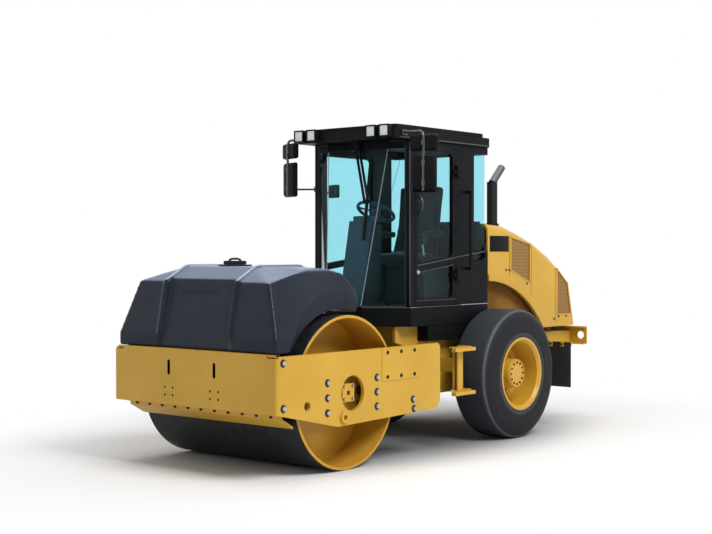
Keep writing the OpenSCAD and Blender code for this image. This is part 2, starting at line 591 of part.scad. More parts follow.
module mirror_case(z, w, h) translate([axle_x + 1270, roof_y + 200, z]) rotate([90, 0, 110]) round_plate(w, h, 50, 34);
module mirrors() color(black) both() union() {
  box([axle_x + 1256, roof_y, roof_low + 25], [axle_x + 1327, roof_y + 14, roof_low + 75]);
  rod_y(axle_x + 1292, roof_low + 50, 14, roof_y + 10, roof_y + 222);
  rod_z(axle_x + 1292, roof_y + 208, 12, roof_low - 460, roof_low + 50);
  mirror_case(roof_low - 45, 270, 150);
  mirror_case(roof_low - 310, 235, 330);
  bar([axle_x + 1275, roof_y + 150, roof_low - 400], [axle_x + post_x - 36, cab_y + 14, roof_low - 400], 11);
  box([axle_x + post_x - 64, cab_y, roof_low - 425], [axle_x + post_x - 8, cab_y + 22, roof_low - 375]);
}

module wiper() color(black) union() {
  rake = atan2(nose_low - nose_high, cab_h);
  box([axle_x + nose_high + 8, -40, roof_low - 34], [axle_x + nose_high + 52, 40, roof_low]);
  translate([axle_x + nose_high, 0, roof_low]) rotate([0, -rake, 0]) {
    translate([3, -45, -84]) cube([40, 90, 66]);
    rotate([18, 0, 0]) {
      for (y = [-26, 12]) translate([24, y, -570]) cube([12, 14, 530]);
      translate([8, -36, -580]) cube([28, 72, 16]);
    }
    translate([8, 165, -890]) cube([16, 24, 740]);
  }
}

module steps() color(yellow) both() union() {
  for (z = [470, 850]) translate([0, 0, z]) linear_extrude(30) polygon([
    [step_x + 75, step_out - 140], [step_x + 225, step_out - 140], [step_x + 375, step_out - 45], [step_x + 375, step_out], [step_x + 75, step_out]]);
  difference() {
    box([step_x + 155, step_out - 135, 470], [step_x + 235, step_out - 80, 880]);
    box([step_x + 167, step_out - 123, 500], [step_x + 240, step_out - 92, 850]);
  }
  for (z = [470, 850]) {
    box([step_x, step_out - 230, z], [step_x + 30, step_out - 100, z + 30]);
    box([step_x, step_out - 145, z], [step_x + 100, step_out - 100, z + 30]);
  }
  box([step_x, rail_y, 640], [step_x + 30, step_out - 195, 760]);
  box([step_x, step_out - 230, 470], [step_x + 30, step_out - 190, 880]);
}

module mud_flaps() color(black) both() box([flap_x - 8, tyre_in + 5, rail_high - 500], [flap_x, tyre_out, rail_high - 65]);

// Wheels

module tyre_left() color(dark) turned_y(axle_x, axle_z) polygon(concat(
  [[rim_r - 28, tyre_in + 26], [rim_r + 10, tyre_in + 4], [tyre_r - 170, tyre_in], [tyre_r - 90, tyre_in + 8]],
  arc([tyre_r - 60, tyre_in + 68], 60, 240, 360, 6) , [[tyre_r, tyre_out - 68]],
  arc([tyre_r - 60, tyre_out - 68], 60, 15, 120, 6),
  [[tyre_r - 170, tyre_out], [rim_r + 10, tyre_out - 4], [rim_r - 28, tyre_out - 26]]));
module tyre_right() mirror([0, 1, 0]) tyre_left();

module rim_left() color(yellow) turned_y(axle_x, axle_z) polygon([
  [60 + run_fit, tyre_in + 20], [150, tyre_in + 20], [150, tyre_in + 110], [rim_r - 28 - rim_t, tyre_in + 130], [rim_r - 28 - rim_t, tyre_in + 40], [rim_r - 20, tyre_in + 4], [rim_r, tyre_in + 4],
  [rim_r, tyre_in + 9.5], [rim_r - 28, tyre_in + 26], [rim_r - 28, tyre_out - 26], [rim_r, tyre_out - 9.5], [rim_r, tyre_out - 4], [rim_r - 20, tyre_out - 4],
  [rim_r - 28 - rim_t, tyre_out - 30], [rim_r - 28 - rim_t, tyre_in + 150], [165, tyre_in + 134], [150, tyre_in + 140], [132, tyre_out - 70], [118, tyre_out - 62], [0, tyre_out - 62], [0, tyre_in + 70], [60 + run_fit, tyre_in + 70]]);
module rim_right() mirror([0, 1, 0]) rim_left();

// Hood

function hood_line(g) = [
  [hood_front, hood_low], [hood_front, 1980 - g], [axle_x - 336 * hood_k + g * 0.1, 1960 - g], [axle_x - 601 * hood_k + g * 0.25, 1890 - g], [axle_x - 874 * hood_k + g * 0.35, 1800 - g],
  [axle_x - 1156 * hood_k + g * 0.45, 1670 - g], [axle_x - 1389 * hood_k + g * 0.6, 1527 - g * 0.9], [axle_x - 1569 * hood_k + g * 0.9, 1371 - g * 0.6], [axle_x - 1653 * hood_k + g, 1030], [axle_x - 1673 * hood_k + g, hood_low]];
module hood_body(t) hull() for (k = [0:5]) {
  g = hood_round * (1 - cos(18 * k));
  along_y(-(hood_y - t - hood_round + hood_round * sin(18 * k)), hood_y - t - hood_round + hood_round * sin(18 * k)) polygon(hood_line(t + g));
}
module vent(n) {
  if (n == 0) polygon([[axle_x - 440 * hood_k, 1856], [axle_x - 781 * hood_k, 1790], [axle_x - 781 * hood_k, 1410], [axle_x - 440 * hood_k, 1537]]);
  else polygon([[axle_x - 1294 * hood_k, 1540], [axle_x - 1500 * hood_k, 1390], [axle_x - 1570 * hood_k, 1079], [axle_x - 1294 * hood_k, 1079]]);
}

module hood() color(yellow) difference() {
  union() {
    difference() {
      hood_body(0);
      difference() {
        hood_body(hood_t);
        box([rear_end, -hood_y, 0], [axle_x - 1673 * hood_k + hood_t - 17, hood_y, hood_low + 900]);
      }
      box([hood_front - hood_t - 5, -hood_y + hood_round, hood_low - 5], [hood_front + 5, hood_y - hood_round, 1980 - hood_round]);
    }
    both() intersection() {
      along_y(hood_y - hood_t, hood_y + flare_out) difference() {
        translate([arch_x, arch_z]) circle(r = arch_r + 65);
        translate([arch_x, arch_z]) circle(r = arch_r);
      }
      box([axle_x - 1130 * hood_k, 0, hood_low], [hood_front, hood_y + 50, roof_top]);
    }
    for (s = [-1, 1], k = [-48, 22]) {
      rod_y(hood_hinge_x, hinge_z, 24, s * 250 + k, s * 250 + k + 26);
      box([axle_x - 1653 * hood_k + hood_t - 5, s * 250 + k, hinge_z], [hood_hinge_x + 24, s * 250 + k + 26, hinge_z + 60]);
    }
  }
  both() along_y(hood_y - 100, hood_y + 100) {
    translate([arch_x, arch_z]) circle(r = arch_r);
    vent(0);
    vent(1);
  }
  for (s = [-1, 1]) {
    rod_y(hood_hinge_x, hinge_z, 11 + run_fit, s * 250 - 60, s * 250 + 60);
    box([axle_x - 1700 * hood_k, s * 250 - 22, hood_low - 5], [hood_hinge_x - 30, s * 250 + 22, hinge_z + 10]);
  }
  rod_z(stack_x, stack_y, stack_r + 14.3, 1500, roof_top);
}

module hood_vents() color("#8A6A36") both() along_y(hood_y - hood_t + 4, hood_y - 6) {
  vent(0);
  vent(1);
}

module exhaust() color(black) union() {
  rod_z(stack_x, stack_y, stack_r + 14, stack_foot - 100, stack_foot);
  rod_z(stack_x, stack_y, stack_r, stack_foot - 10, stack_top);
  bar([stack_x, stack_y, stack_top - 10], [stack_x - 168, stack_y, stack_top + 150], stack_r * 0.72);
}

// Door

module door_left() color(black) union() {
  along_y(cab_y - 40, cab_y) difference() {
    translate([axle_x + hinge_x + door_gap, floor_z + door_gap]) square([door_front - hinge_x - 2 * door_gap, roof_low - 45 - floor_z - 2 * door_gap]);
    upper_window(hinge_x + door_frame + 8, door_front - door_frame - 8);
    lower_window(hinge_x + door_frame + 8, door_front - door_frame - 8);
  }
  for (z = hinge_heights) difference() {
    union() {
      rod_z(door_axis[0], door_axis[1], 14, z + 6, z + 36);
      box([door_axis[0], cab_y - 6, z + 6], [door_axis[0] + 46, cab_y + 18, z + 36]);
    }
    rod_z(door_axis[0], door_axis[1], 7 + run_fit, z, z + 40);
  }
}

module door_panes() color(glass) along_y(cab_y - 24, cab_y - 24 + glass_t) {
  upper_window(hinge_x + door_frame + 8, door_front - door_frame - 8);
  lower_window(hinge_x + door_frame + 8, door_front - door_frame - 8);
}

// Steering cylinders

module on_cylinder() translate(barrel_pin) rotate([0, 0, cyl_turn]) children();

module barrel_left() color(black) on_cylinder() difference() {
  union() {
    rod_x(0, 0, barrel_r, 40, 440);
    rod_z(0, 0, 36, -28, 28);
    box([0, -30, -26], [60, 30, 26]);
  }
  rod_x(0, 0, rod_r + run_fit, 70, 445);
  rod_z(0, 0, 16 + run_fit, -30, 30);
}
module barrel_right() mirror([0, 1, 0]) barrel_left();

module rod_left() color(steel) on_cylinder() difference() {
  union() {
    rod_x(0, 0, rod_r, 240, cyl_span - 30);
    rod_z(cyl_span, 0, 42, -28, 28);
  }
  rod_z(cyl_span, 0, 20, -30, 30);
}
module rod_right() mirror([0, 1, 0]) rod_left();

yoke_front_plate();
yoke_left_plate();
yoke_right_plate();
yoke_crossmember();
hitch_pin();
drum_mounts();
drum_carriers();
water_tank();
tank_cap();
scrapers();
drum_shell();
drum_core();
rear_frame();
rear_axle();
rear_bumper();
engine_block();
inner_panels();
cab_base();
cab_left_side();
cab_right_side();
cab_rear();
cab_roof();
cab_glass();
seat_base();
seat();
console();
steering_wheel();
work_lamps();
mirrors();
wiper();
steps();
mud_flaps();
tyre_left();
rim_left();
tyre_right();
rim_right();
hood();
hood_vents();
exhaust();
door_left();
door_panes();
barrel_left();
rod_left();
barrel_right();
rod_right();
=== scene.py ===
import json
import math

import bpy
from mathutils import Matrix, Vector


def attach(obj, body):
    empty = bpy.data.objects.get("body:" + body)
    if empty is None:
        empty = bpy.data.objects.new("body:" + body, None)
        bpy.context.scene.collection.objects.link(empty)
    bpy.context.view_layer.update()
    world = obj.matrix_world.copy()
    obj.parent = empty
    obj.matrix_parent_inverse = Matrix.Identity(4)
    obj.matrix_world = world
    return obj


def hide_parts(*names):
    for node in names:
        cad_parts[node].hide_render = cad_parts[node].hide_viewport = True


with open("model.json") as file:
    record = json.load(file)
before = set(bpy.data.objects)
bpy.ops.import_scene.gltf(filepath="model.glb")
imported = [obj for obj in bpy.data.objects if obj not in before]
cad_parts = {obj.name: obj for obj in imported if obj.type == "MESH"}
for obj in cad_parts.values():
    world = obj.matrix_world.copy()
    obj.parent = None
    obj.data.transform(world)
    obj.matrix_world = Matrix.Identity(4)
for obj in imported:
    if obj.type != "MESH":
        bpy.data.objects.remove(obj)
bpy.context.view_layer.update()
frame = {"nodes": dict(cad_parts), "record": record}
scene = bpy.context.scene
print("frame loaded:", len(frame["nodes"]), "nodes")

# the machine's main places in metres, as in the part's source
drumX, drumZ, drumRadius = 1.633, 0.610, 0.610
axleX, axleZ, tyreRadius = -0.742, 0.593, 0.593
tankRibY = 0.395
hoodSide = 0.540
cabFloor, cabRoof = 1.230, 2.690
cabSide, cabSkin = 0.550, 0.551  # the skin line lies just outside the side plates
screen = {"lowX": axleX + 1.420, "lowY": 0.200, "highX": axleX + 1.210, "highY": 0.350,
          "postX": axleX + 1.175, "postY": 0.500}  # the windscreen's foot and head, and the corner posts
bothSides = ((1, "Left"), (-1, "Right"))


# small helpers for objects and edit mode

def deselectAll():
    if bpy.context.object and bpy.context.object.mode != "OBJECT":
        bpy.ops.object.mode_set(mode="OBJECT")
    bpy.ops.object.select_all(action="DESELECT")


def activate(piece):
    deselectAll()
    piece.select_set(True)
    bpy.context.view_layer.objects.active = piece


def nameIt(name):
    piece = bpy.context.object
    piece.name = name
    piece.data.name = name
    return piece


def settle(piece):  # puts the place into the mesh
    activate(piece)
    bpy.ops.object.transform_apply(location=True, rotation=True, scale=True)
    return piece


def meshPiece(name, points, edges, faces):
    mesh = bpy.data.meshes.new(name)
    mesh.from_pydata(points, edges, faces)
    piece = bpy.data.objects.new(name, mesh)
    scene.collection.objects.link(piece)
    return piece


def editAll(piece, kind="FACE"):  # edit mode with everything selected
    activate(piece)
    bpy.ops.object.mode_set(mode="EDIT")
    bpy.ops.mesh.select_mode(type=kind)
    bpy.ops.mesh.select_all(action="SELECT")


def editFaces(piece, rule):  # edit mode with the faces that a rule picks
    editAll(piece)
    bpy.ops.mesh.select_all(action="DESELECT")
    endEdit()
    for face in piece.data.polygons:
        face.select = rule(face)
    bpy.ops.object.mode_set(mode="EDIT")


def endEdit():
    bpy.ops.object.mode_set(mode="OBJECT")


def applyModifier(piece, kind, **settings):
    activate(piece)
    modifier = piece.modifiers.new(kind.title(), kind)
    for key, value in settings.items():
        setattr(modifier, key, value)
    bpy.ops.object.modifier_apply(modifier=modifier.name)


def smooth(piece, angle):
    activate(piece)
    bpy.ops.object.shade_smooth_by_angle(angle=math.radians(angle))
    return piece


def joined(pieces, name):
    deselectAll()
    for piece in pieces:
        piece.select_set(True)
    bpy.context.view_layer.objects.active = pieces[0]
    if len(pieces) > 1:
        bpy.ops.object.join()
    return nameIt(name)


def copies(master, name, places):  # one mesh for each place, joined under one name
    made = []
    for place in places:
        twin = master.copy()
        twin.data = master.data.copy()
        twin.data.transform(place)
        scene.collection.objects.link(twin)
        made.append(twin)
    bpy.data.objects.remove(master)
    return joined(made, name)


def give(piece, material, body):  # None keeps the materials that a piece has
    if material:
        piece.data.materials.clear()
        piece.data.materials.append(material)
    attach(piece, body)
    return piece


# shapes that several pieces start from

def boxAt(name, low, high):
    deselectAll()
    bpy.ops.mesh.primitive_cube_add(size=1, location=[(a + b) / 2 for a, b in zip(low, high)])
    piece = nameIt(name)
    piece.scale = [b - a for a, b in zip(low, high)]
    return settle(piece)


def bevelledBox(name, low, high, edge, segments=3):
    piece = boxAt(name, low, high)
    editAll(piece, "EDGE")
    bpy.ops.mesh.bevel(offset=edge, segments=segments, affect="EDGES", clamp_overlap=True)
    endEdit()
    return smooth(piece, 40)


def easedDisc(name, corners, radius, low, high, edge):  # a disc along Z with its upper edge eased
    deselectAll()
    bpy.ops.mesh.primitive_cylinder_add(
        vertices=corners, radius=radius, depth=high - low, location=(0, 0, (low + high) / 2))
    disc = nameIt(name)
    editFaces(disc, lambda face: face.normal.z > 0.9)
    bpy.ops.mesh.bevel(offset=edge, segments=2, affect="EDGES")
    endEdit()
    return settle(disc)


def tube(name, points, radius, bend="AUTO"):  # a bent tube, made a mesh
    curve = bpy.data.curves.new(name, "CURVE")
    curve.dimensions = "3D"
    curve.bevel_depth = radius
    curve.bevel_resolution = 4
    curve.resolution_u = 8
    curve.use_fill_caps = True
    spline = curve.splines.new("BEZIER")
    spline.bezier_points.add(len(points) - 1)
    for knot, point in zip(spline.bezier_points, points):
        knot.co = point
        knot.handle_left_type = knot.handle_right_type = bend
    piece = bpy.data.objects.new(name, curve)
    scene.collection.objects.link(piece)
    activate(piece)
    bpy.ops.object.convert(target="MESH")
    return smooth(nameIt(name), 60)


def rod(name, points, radius):  # straight stretches with sharp turns
    return tube(name, points, radius, "VECTOR")


def spinProfile(name, profile, steps):  # profile in (radius, y), turned about the rear axle
    last = len(profile) - 1
    ring = [(i, i + 1) for i in range(last)] + [(last, 0)]
    piece = meshPiece(name, [(axleX + radius, y, axleZ) for radius, y in profile], ring, [])
    editAll(piece, "VERT")
    bpy.ops.mesh.spin(steps=steps, angle=2 * math.pi, center=(axleX, 0, axleZ), axis=(0, 1, 0))
    bpy.ops.mesh.select_all(action="SELECT")
    bpy.ops.mesh.remove_doubles(threshold=0.0001)
    bpy.ops.mesh.normals_make_consistent(inside=False)
    endEdit()
    return piece


def prism(name, outline, low, high):  # outline in (x, z), thick along Y
    count = len(outline)
    points = [(x, y, z) for y in (low, high) for x, z in outline]
    ends = [tuple(range(count)), tuple(range(count, 2 * count))]
    walls = [(i, (i + 1) % count, count + (i + 1) % count, count + i) for i in range(count)]
    piece = meshPiece(name, points, [], ends + walls)
    editAll(piece)
    bpy.ops.mesh.normals_make_consistent(inside=False)
    endEdit()
    return piece


def cutBy(piece, cutter):
    applyModifier(piece, "BOOLEAN", operation="DIFFERENCE", object=cutter, solver="EXACT")
    bpy.data.objects.remove(cutter)


def outward(side, near, far):  # lowest and highest Y of what lies between two distances on one side
    return sorted((side * near, side * far))


def facing(place, direction):  # +Z of a piece turned to a direction, then moved to a place
    return Matrix.Translation(place) @ Vector(direction).to_track_quat("Z", "Y").to_matrix().to_4x4()


def turnedY(angle):
    return Matrix.Rotation(angle, 4, "Y")


def turnedZ(angle):
    return Matrix.Rotation(angle, 4, "Z")


# materials

mixShare, mixFirst, mixSecond, mixResult = 0, 6, 7, 2  # the sockets of a mix node that is set to colours


def linear(hexColour):
    channels = [int(hexColour[i:i + 2], 16) / 255 for i in (1, 3, 5)]
    return [c / 12.92 if c <= 0.04045 else ((c + 0.055) / 1.055) ** 2.4 for c in channels] + [1]


def addNode(tree, kind, settings=None, links=None):
    item = tree.nodes.new(kind)
    for key, value in (settings or {}).items():
        if isinstance(key, str) and hasattr(item, key):
            setattr(item, key, value)
        else:
            item.inputs[key].default_value = value
    for key, source in (links or {}).items():
        tree.links.new(source, item.inputs[key])
    return item


def startMaterial(name, colour, roughness, extra=None, metallic=0.0, ior=1.5):
    material = bpy.data.materials.new(name)
    material.use_nodes = True
    tree = material.node_tree
    values = {"Base Color": linear(colour), "Roughness": roughness, "Metallic": metallic}
    if not metallic:
        values["IOR"] = ior
    for socket, value in {**values, **(extra or {})}.items():
        tree.nodes["Principled BSDF"].inputs[socket].default_value = value
    addNode(tree, "ShaderNodeTexCoord", {"name": "place"})
    return material


def placeOn(material):
    return material.node_tree.nodes["place"].outputs["Object"]


def feed(material, socket, output):
    tree = material.node_tree
    tree.links.new(output, tree.nodes["Principled BSDF"].inputs[socket])


def mottle(material, size, dark, light, low=0.3, high=0.7, detail=4.0):  # drifts over a size in metres
    tree, vector = material.node_tree, {"Vector": placeOn(material)}
    cloud = addNode(tree, "ShaderNodeTexNoise", {"Scale": 1 / size, "Detail": detail}, vector)
    ramp = addNode(tree, "ShaderNodeValToRGB", {}, {"Fac": cloud.outputs["Fac"]})
    for stop, position, colour in zip(ramp.color_ramp.elements, (low, high), (dark, light)):
        stop.position = position
        stop.color = linear(colour)
    return ramp.outputs["Color"]


def mottled(material, size, dark, light):
    feed(material, "Base Color", mottle(material, size, dark, light))


def roughened(material, size, low, high):  # gloss that drifts over a size in metres
    tree, vector = material.node_tree, {"Vector": placeOn(material)}
    cloud = addNode(tree, "ShaderNodeTexNoise", {"Scale": 1 / size, "Detail": 5.0}, vector)
    limits = {"To Min": low, "To Max": high}
    span = addNode(tree, "ShaderNodeMapRange", limits, {"Value": cloud.outputs["Fac"]})
    feed(material, "Roughness", span.outputs["Result"])


def grained(material, size, height, edge=0.0):  # bump of a grain size in metres, with edges eased by a radius
    tree, vector = material.node_tree, {"Vector": placeOn(material)}
    grain = addNode(tree, "ShaderNodeTexNoise", {"Scale": 1 / size, "Detail": 3.0}, vector)
    relief = {"Strength": 0.25, "Distance": height}
    bump = addNode(tree, "ShaderNodeBump", relief, {"Height": grain.outputs["Fac"]})
    if edge:
        eased = addNode(tree, "ShaderNodeBevel", {"samples": 4, "Radius": edge})
        tree.links.new(eased.outputs["Normal"], bump.inputs["Normal"])
    feed(material, "Normal", bump.outputs["Normal"])


def axleReach(material, x, z):  # distance from an axle that lies across the machine
    tree = material.node_tree
    shift = {"operation": "SUBTRACT", 1: (x, 0, z)}
    offset = addNode(tree, "ShaderNodeVectorMath", shift, {0: placeOn(material)})
    flatten = {"operation": "MULTIPLY", 1: (1, 0, 1)}
    flat = addNode(tree, "ShaderNodeVectorMath", flatten, {0: offset.outputs["Vector"]})
    reach = addNode(tree, "ShaderNodeVectorMath", {"operation": "LENGTH"}, {0: flat.outputs["Vector"]})
    return reach.outputs["Value"]


# sprayed enamel on steel plate: even gloss with a slight orange peel and dust that dulls it in patches
enamelYellow = startMaterial("enamelYellow", "#CDA033", 0.36, {
    "Specular IOR Level": 0.3, "Coat Weight": 0.12, "Coat Roughness": 0.15})
mottled(enamelYellow, size=0.55, dark="#C69A2D", light="#D3A63B")
roughened(enamelYellow, size=0.18, low=0.30, high=0.46)
grained(enamelYellow, size=0.006, height=0.0006, edge=0.004)

# the yellow paint inside the wheel wells, dull, its colour darkened to brown as painted shade
wellShadeBrown = startMaterial("wellShadeBrown", "#8A5F22", 0.7, {"Specular IOR Level": 0.2})
mottled(wellShadeBrown, size=0.3, dark="#7A511B", light="#96692A")
roughened(wellShadeBrown, size=0.12, low=0.6, high=0.8)

# satin black powder coat on cab steel: fine pebble, grey at glancing light
powderBlack = startMaterial("powderBlack", "#0E1012", 0.46, {"Specular IOR Level": 0.08})
mottled(powderBlack, size=0.4, dark="#0B0D0F", light="#121417")
roughened(powderBlack, size=0.12, low=0.38, high=0.54)
grained(powderBlack, size=0.003, height=0.0003, edge=0.005)

# gloss black of rolled edges, seals' lips and drip rails: mirrors the sky as a thin light line
edgeGloss = startMaterial("edgeGloss", "#1E2023", 0.2, {"Specular IOR Level": 0.9})
roughened(edgeGloss, size=0.05, low=0.14, high=0.26)

# rotationally moulded polyethylene: dark blue-grey with a waxy sheen and a shallow pebble from the mould
tankPoly = startMaterial("tankPoly", "#1D2027", 0.3, {
    "Specular IOR Level": 0.18, "Specular Tint": linear("#D6E2FF")})
roughened(tankPoly, size=0.10, low=0.24, high=0.34)
grained(tankPoly, size=0.004, height=0.0006)


def paintTankSkyReflection():  # painted sky reflection: pale where the tank faces the sky, paler still as a painted highlight along its ribs
    # the first pale colour is a painted sky reflection on up-facing faces, the second a painted highlight on
    # the rib crests
    skyReflection = {"from": 0.55, "to": 0.97, "paintedSky": "#76839C", "rubbed": "#BAC3D6", "ribHalf": 0.015}
    tree = tankPoly.node_tree
    resin = mottle(tankPoly, size=0.35, dark="#1C1F27", light="#252932")
    upward = addNode(tree, "ShaderNodeSeparateXYZ", {}, {"Vector": tree.nodes["place"].outputs["Normal"]})
    rise = {"interpolation_type": "SMOOTHSTEP", "From Min": skyReflection["from"], "From Max": skyReflection["to"]}
    paintedSky = addNode(tree, "ShaderNodeMapRange", rise, {"Value": upward.outputs["Z"]}).outputs["Result"]
    pale = {"data_type": "RGBA", mixSecond: linear(skyReflection["paintedSky"])}
    skin = addNode(tree, "ShaderNodeMix", pale, {mixShare: paintedSky, mixFirst: resin})
    across = addNode(tree, "ShaderNodeSeparateXYZ", {}, {"Vector": placeOn(tankPoly)})
    half = addNode(tree, "ShaderNodeMath", {"operation": "ABSOLUTE"}, {0: across.outputs["Y"]})
    near = {"operation": "COMPARE", 1: tankRibY, 2: skyReflection["ribHalf"]}
    crest = addNode(tree, "ShaderNodeMath", near, {0: half.outputs["Value"]})
    # the share of the painted highlight along the rib crests
    rubbed = addNode(tree, "ShaderNodeMath", {"operation": "MULTIPLY"}, {0: crest.outputs["Value"], 1: paintedSky})
    ribHighlightColour = {"data_type": "RGBA", mixSecond: linear(skyReflection["rubbed"])}
    links = {mixShare: rubbed.outputs["Value"], mixFirst: skin.outputs[mixResult]}
    feed(tankPoly, "Base Color", addNode(tree, "ShaderNodeMix", ribHighlightColour, links).outputs[mixResult])


paintTankSkyReflection()

# black paint on rolled drum steel, rubbed grey by the ground
drumPaint = startMaterial("drumPaint", "#1C1D20", 0.5, {"Specular IOR Level": 0.26})
roughened(drumPaint, size=0.05, low=0.40, high=0.62)
grained(drumPaint, size=0.02, height=0.0012, edge=0.003)


def paintDrum():  # black outside, yellow enamel on the rims and inside
    drum = {"skin": 0.0035, "rim": "#CB9A34"}
    tree = drumPaint.node_tree
    beyond = {"operation": "GREATER_THAN", 1: drumRadius - drum["skin"]}
    outside = addNode(tree, "ShaderNodeMath", beyond, {0: axleReach(drumPaint, drumX, drumZ)})
    worn = mottle(drumPaint, size=0.09, dark="#17181B", light="#28292D", low=0.35, high=0.75, detail=8.0)
    paint = {"data_type": "RGBA", mixFirst: linear(drum["rim"])}
    skin = addNode(tree, "ShaderNodeMix", paint, {mixShare: outside.outputs["Value"], mixSecond: worn})
    feed(drumPaint, "Base Color", skin.outputs[mixResult])


paintDrum()

# natural rubber tyre: matt carbon black
tyreRubber = startMaterial("tyreRubber", "#121315", 0.6, {"Specular IOR Level": 0.2}, ior=1.52)
roughened(tyreRubber, size=0.08, low=0.50, high=0.70)
grained(tyreRubber, size=0.004, height=0.0008)


def bandTyre():  # rubbed grey at the bead, a pale line at the shoulder, and on the tread dust with a painted reflection
    # the tread colour is dust with a painted reflection of the sky at grazing angles
    band = {"from": 0.30, "to": 0.60, "bead": "#2A2C31", "tread": "#383B42"}
    stops = ((0.22, "#383B41"), (0.28, "#121316"), (0.70, "#14161A"),
             (0.88, "#1F2126"), (0.925, "#5A5E66"), (0.955, "#34373D"))
    tree = tyreRubber.node_tree
    span = {"From Min": band["from"], "From Max": band["to"]}
    share = addNode(tree, "ShaderNodeMapRange", span, {"Value": axleReach(tyreRubber, axleX, axleZ)})
    ramp = addNode(tree, "ShaderNodeValToRGB", {}, {"Fac": share.outputs["Result"]})
    elements = ramp.color_ramp.elements
    for position, colour in stops:
        elements.new(position).color = linear(colour)
    elements[0].color = linear(band["bead"])
    elements[-1].color = linear(band["tread"])
    feed(tyreRubber, "Base Color", ramp.outputs["Color"])


bandTyre()

# sheet rubber of the flaps and drum mounts: duller and blacker than the tyres
sheetRubber = startMaterial("sheetRubber", "#17181A", 0.8, ior=1.52)
mottled(sheetRubber, size=0.08, dark="#131416", light="#202124")
grained(sheetRubber, size=0.003, height=0.0006)

# zinc plated steel of bolts, pins and rods: bright grey with soft highlights
zincSteel = startMaterial("zincSteel", "#B9BBBE", 0.3, metallic=1.0)
roughened(zincSteel, size=0.01, low=0.22, high=0.40)

# blued steel of small cap screws and washers
blackOxide = startMaterial("blackOxide", "#2A2B2D", 0.42, metallic=0.6)
roughened(blackOxide, size=0.01, low=0.34, high=0.52)

# cyan tinted laminated safety glass, its low index keeping reflections faint
tintedGlass = startMaterial("tintedGlass", "#C5EFF6", 0.02, {
    "Transmission Weight": 1.0, "Specular Tint": linear("#8A989C")}, ior=1.2)

# woven polyester seat cloth: charcoal with a soft nap; its weave is finer than the picture shows
seatCloth = startMaterial("seatCloth", "#15171B", 0.9, {"Sheen Weight": 0.12})
mottled(seatCloth, size=0.05, dark="#121417", light="#1A1C21")

# grained ABS of the console and wheel: blue-grey and dull; its grain is finer than the picture shows
consoleAbs = startMaterial("consoleAbs", "#343A47", 0.6)
mottled(consoleAbs, size=0.3, dark="#303642", light="#3A414E")

# black ABS of the seat stand and the console's cheeks
standAbs = startMaterial("standAbs", "#101214", 0.6)
mottled(standAbs, size=0.3, dark="#0E1012", light="#141619")

# engine casting under grey paint
engineCasting = startMaterial("engineCasting", "#3A3B3C", 0.6)
mottled(engineCasting, size=0.06, dark="#2C2D2E", light="#484A4A")
grained(engineCasting, size=0.004, height=0.002, edge=0.006)

# punched steel of the vents, painted brown-yellow
ventSheet = startMaterial("ventSheet", "#96703A", 0.5)


def punchVents():  # holes about 9 mm apart, drawn at 14 mm so that they show
    punch = {"pitch": 0.014, "hole": "#33230F", "holeEdge": 0.30, "paint": "#A5772F", "paintEdge": 0.42}
    tree, vector = ventSheet.node_tree, {"Vector": placeOn(ventSheet)}
    cells = addNode(tree, "ShaderNodeTexVoronoi", {"Scale": 1 / punch["pitch"], "Randomness": 0.0}, vector)
    ramp = addNode(tree, "ShaderNodeValToRGB", {}, {"Fac": cells.outputs["Distance"]})
    for stop, key in zip(ramp.color_ramp.elements, ("hole", "paint")):
        stop.position = punch[key + "Edge"]
        stop.color = linear(punch[key])
    feed(ventSheet, "Base Color", ramp.outputs["Color"])


punchVents()

# heat paint and aluminised steel of the exhaust
exhaustSteel = startMaterial("exhaustSteel", "#1C1D1F", 0.45, {"Specular IOR Level": 0.2})
roughened(exhaustSteel, size=0.05, low=0.36, high=0.52)


def bareTip():  # black on the stack, bare metal on the slanted tip
    stack = {"top": 2.3955, "paint": "#1B1C1E", "bare": "#5E6063"}
    tree = exhaustSteel.node_tree
    height = addNode(tree, "ShaderNodeSeparateXYZ", {}, {"Vector": placeOn(exhaustSteel)})
    above = {"operation": "GREATER_THAN", 1: stack["top"]}
    tip = addNode(tree, "ShaderNodeMath", above, {0: height.outputs["Z"]}).outputs["Value"]
    paint = {"data_type": "RGBA", mixFirst: linear(stack["paint"]), mixSecond: linear(stack["bare"])}
    skin = addNode(tree, "ShaderNodeMix", paint, {mixShare: tip})
    feed(exhaustSteel, "Base Color", skin.outputs[mixResult])
    feed(exhaustSteel, "Metallic", tip)


bareTip()

# clear moulded lamp lens over a bright reflector
lampLens = startMaterial("lampLens", "#E9EEF0", 0.12, {"Coat Weight": 0.6})


def ribLens():  # upright flutes 16 mm apart
    flute = {"pitch": 0.0158, "high": 0.002, "strength": 0.5}
    tree = lampLens.node_tree
    wave = {"bands_direction": "Y", "Scale": math.pi / 10 / flute["pitch"]}  # at scale 1, pi / 10 apart
    ribs = addNode(tree, "ShaderNodeTexWave", wave, {"Vector": placeOn(lampLens)})
    relief = {"Strength": flute["strength"], "Distance": flute["high"]}
    bump = addNode(tree, "ShaderNodeBump", relief, {"Height": ribs.outputs["Fac"]})
    feed(lampLens, "Normal", bump.outputs["Normal"])


ribLens()

# silvered mirror glass
mirrorSilver = startMaterial("mirrorSilver", "#DDE2E4", 0.03, metallic=1.0)

# silicone that joins the windscreen to its corner panes: pale and dull
paneSilicone = startMaterial("paneSilicone", "#98A2A8", 0.45)

# red moulded lens of the tail lamps
tailLens = startMaterial("tailLens", "#A31A17", 0.2, {"Coat Weight": 0.5})

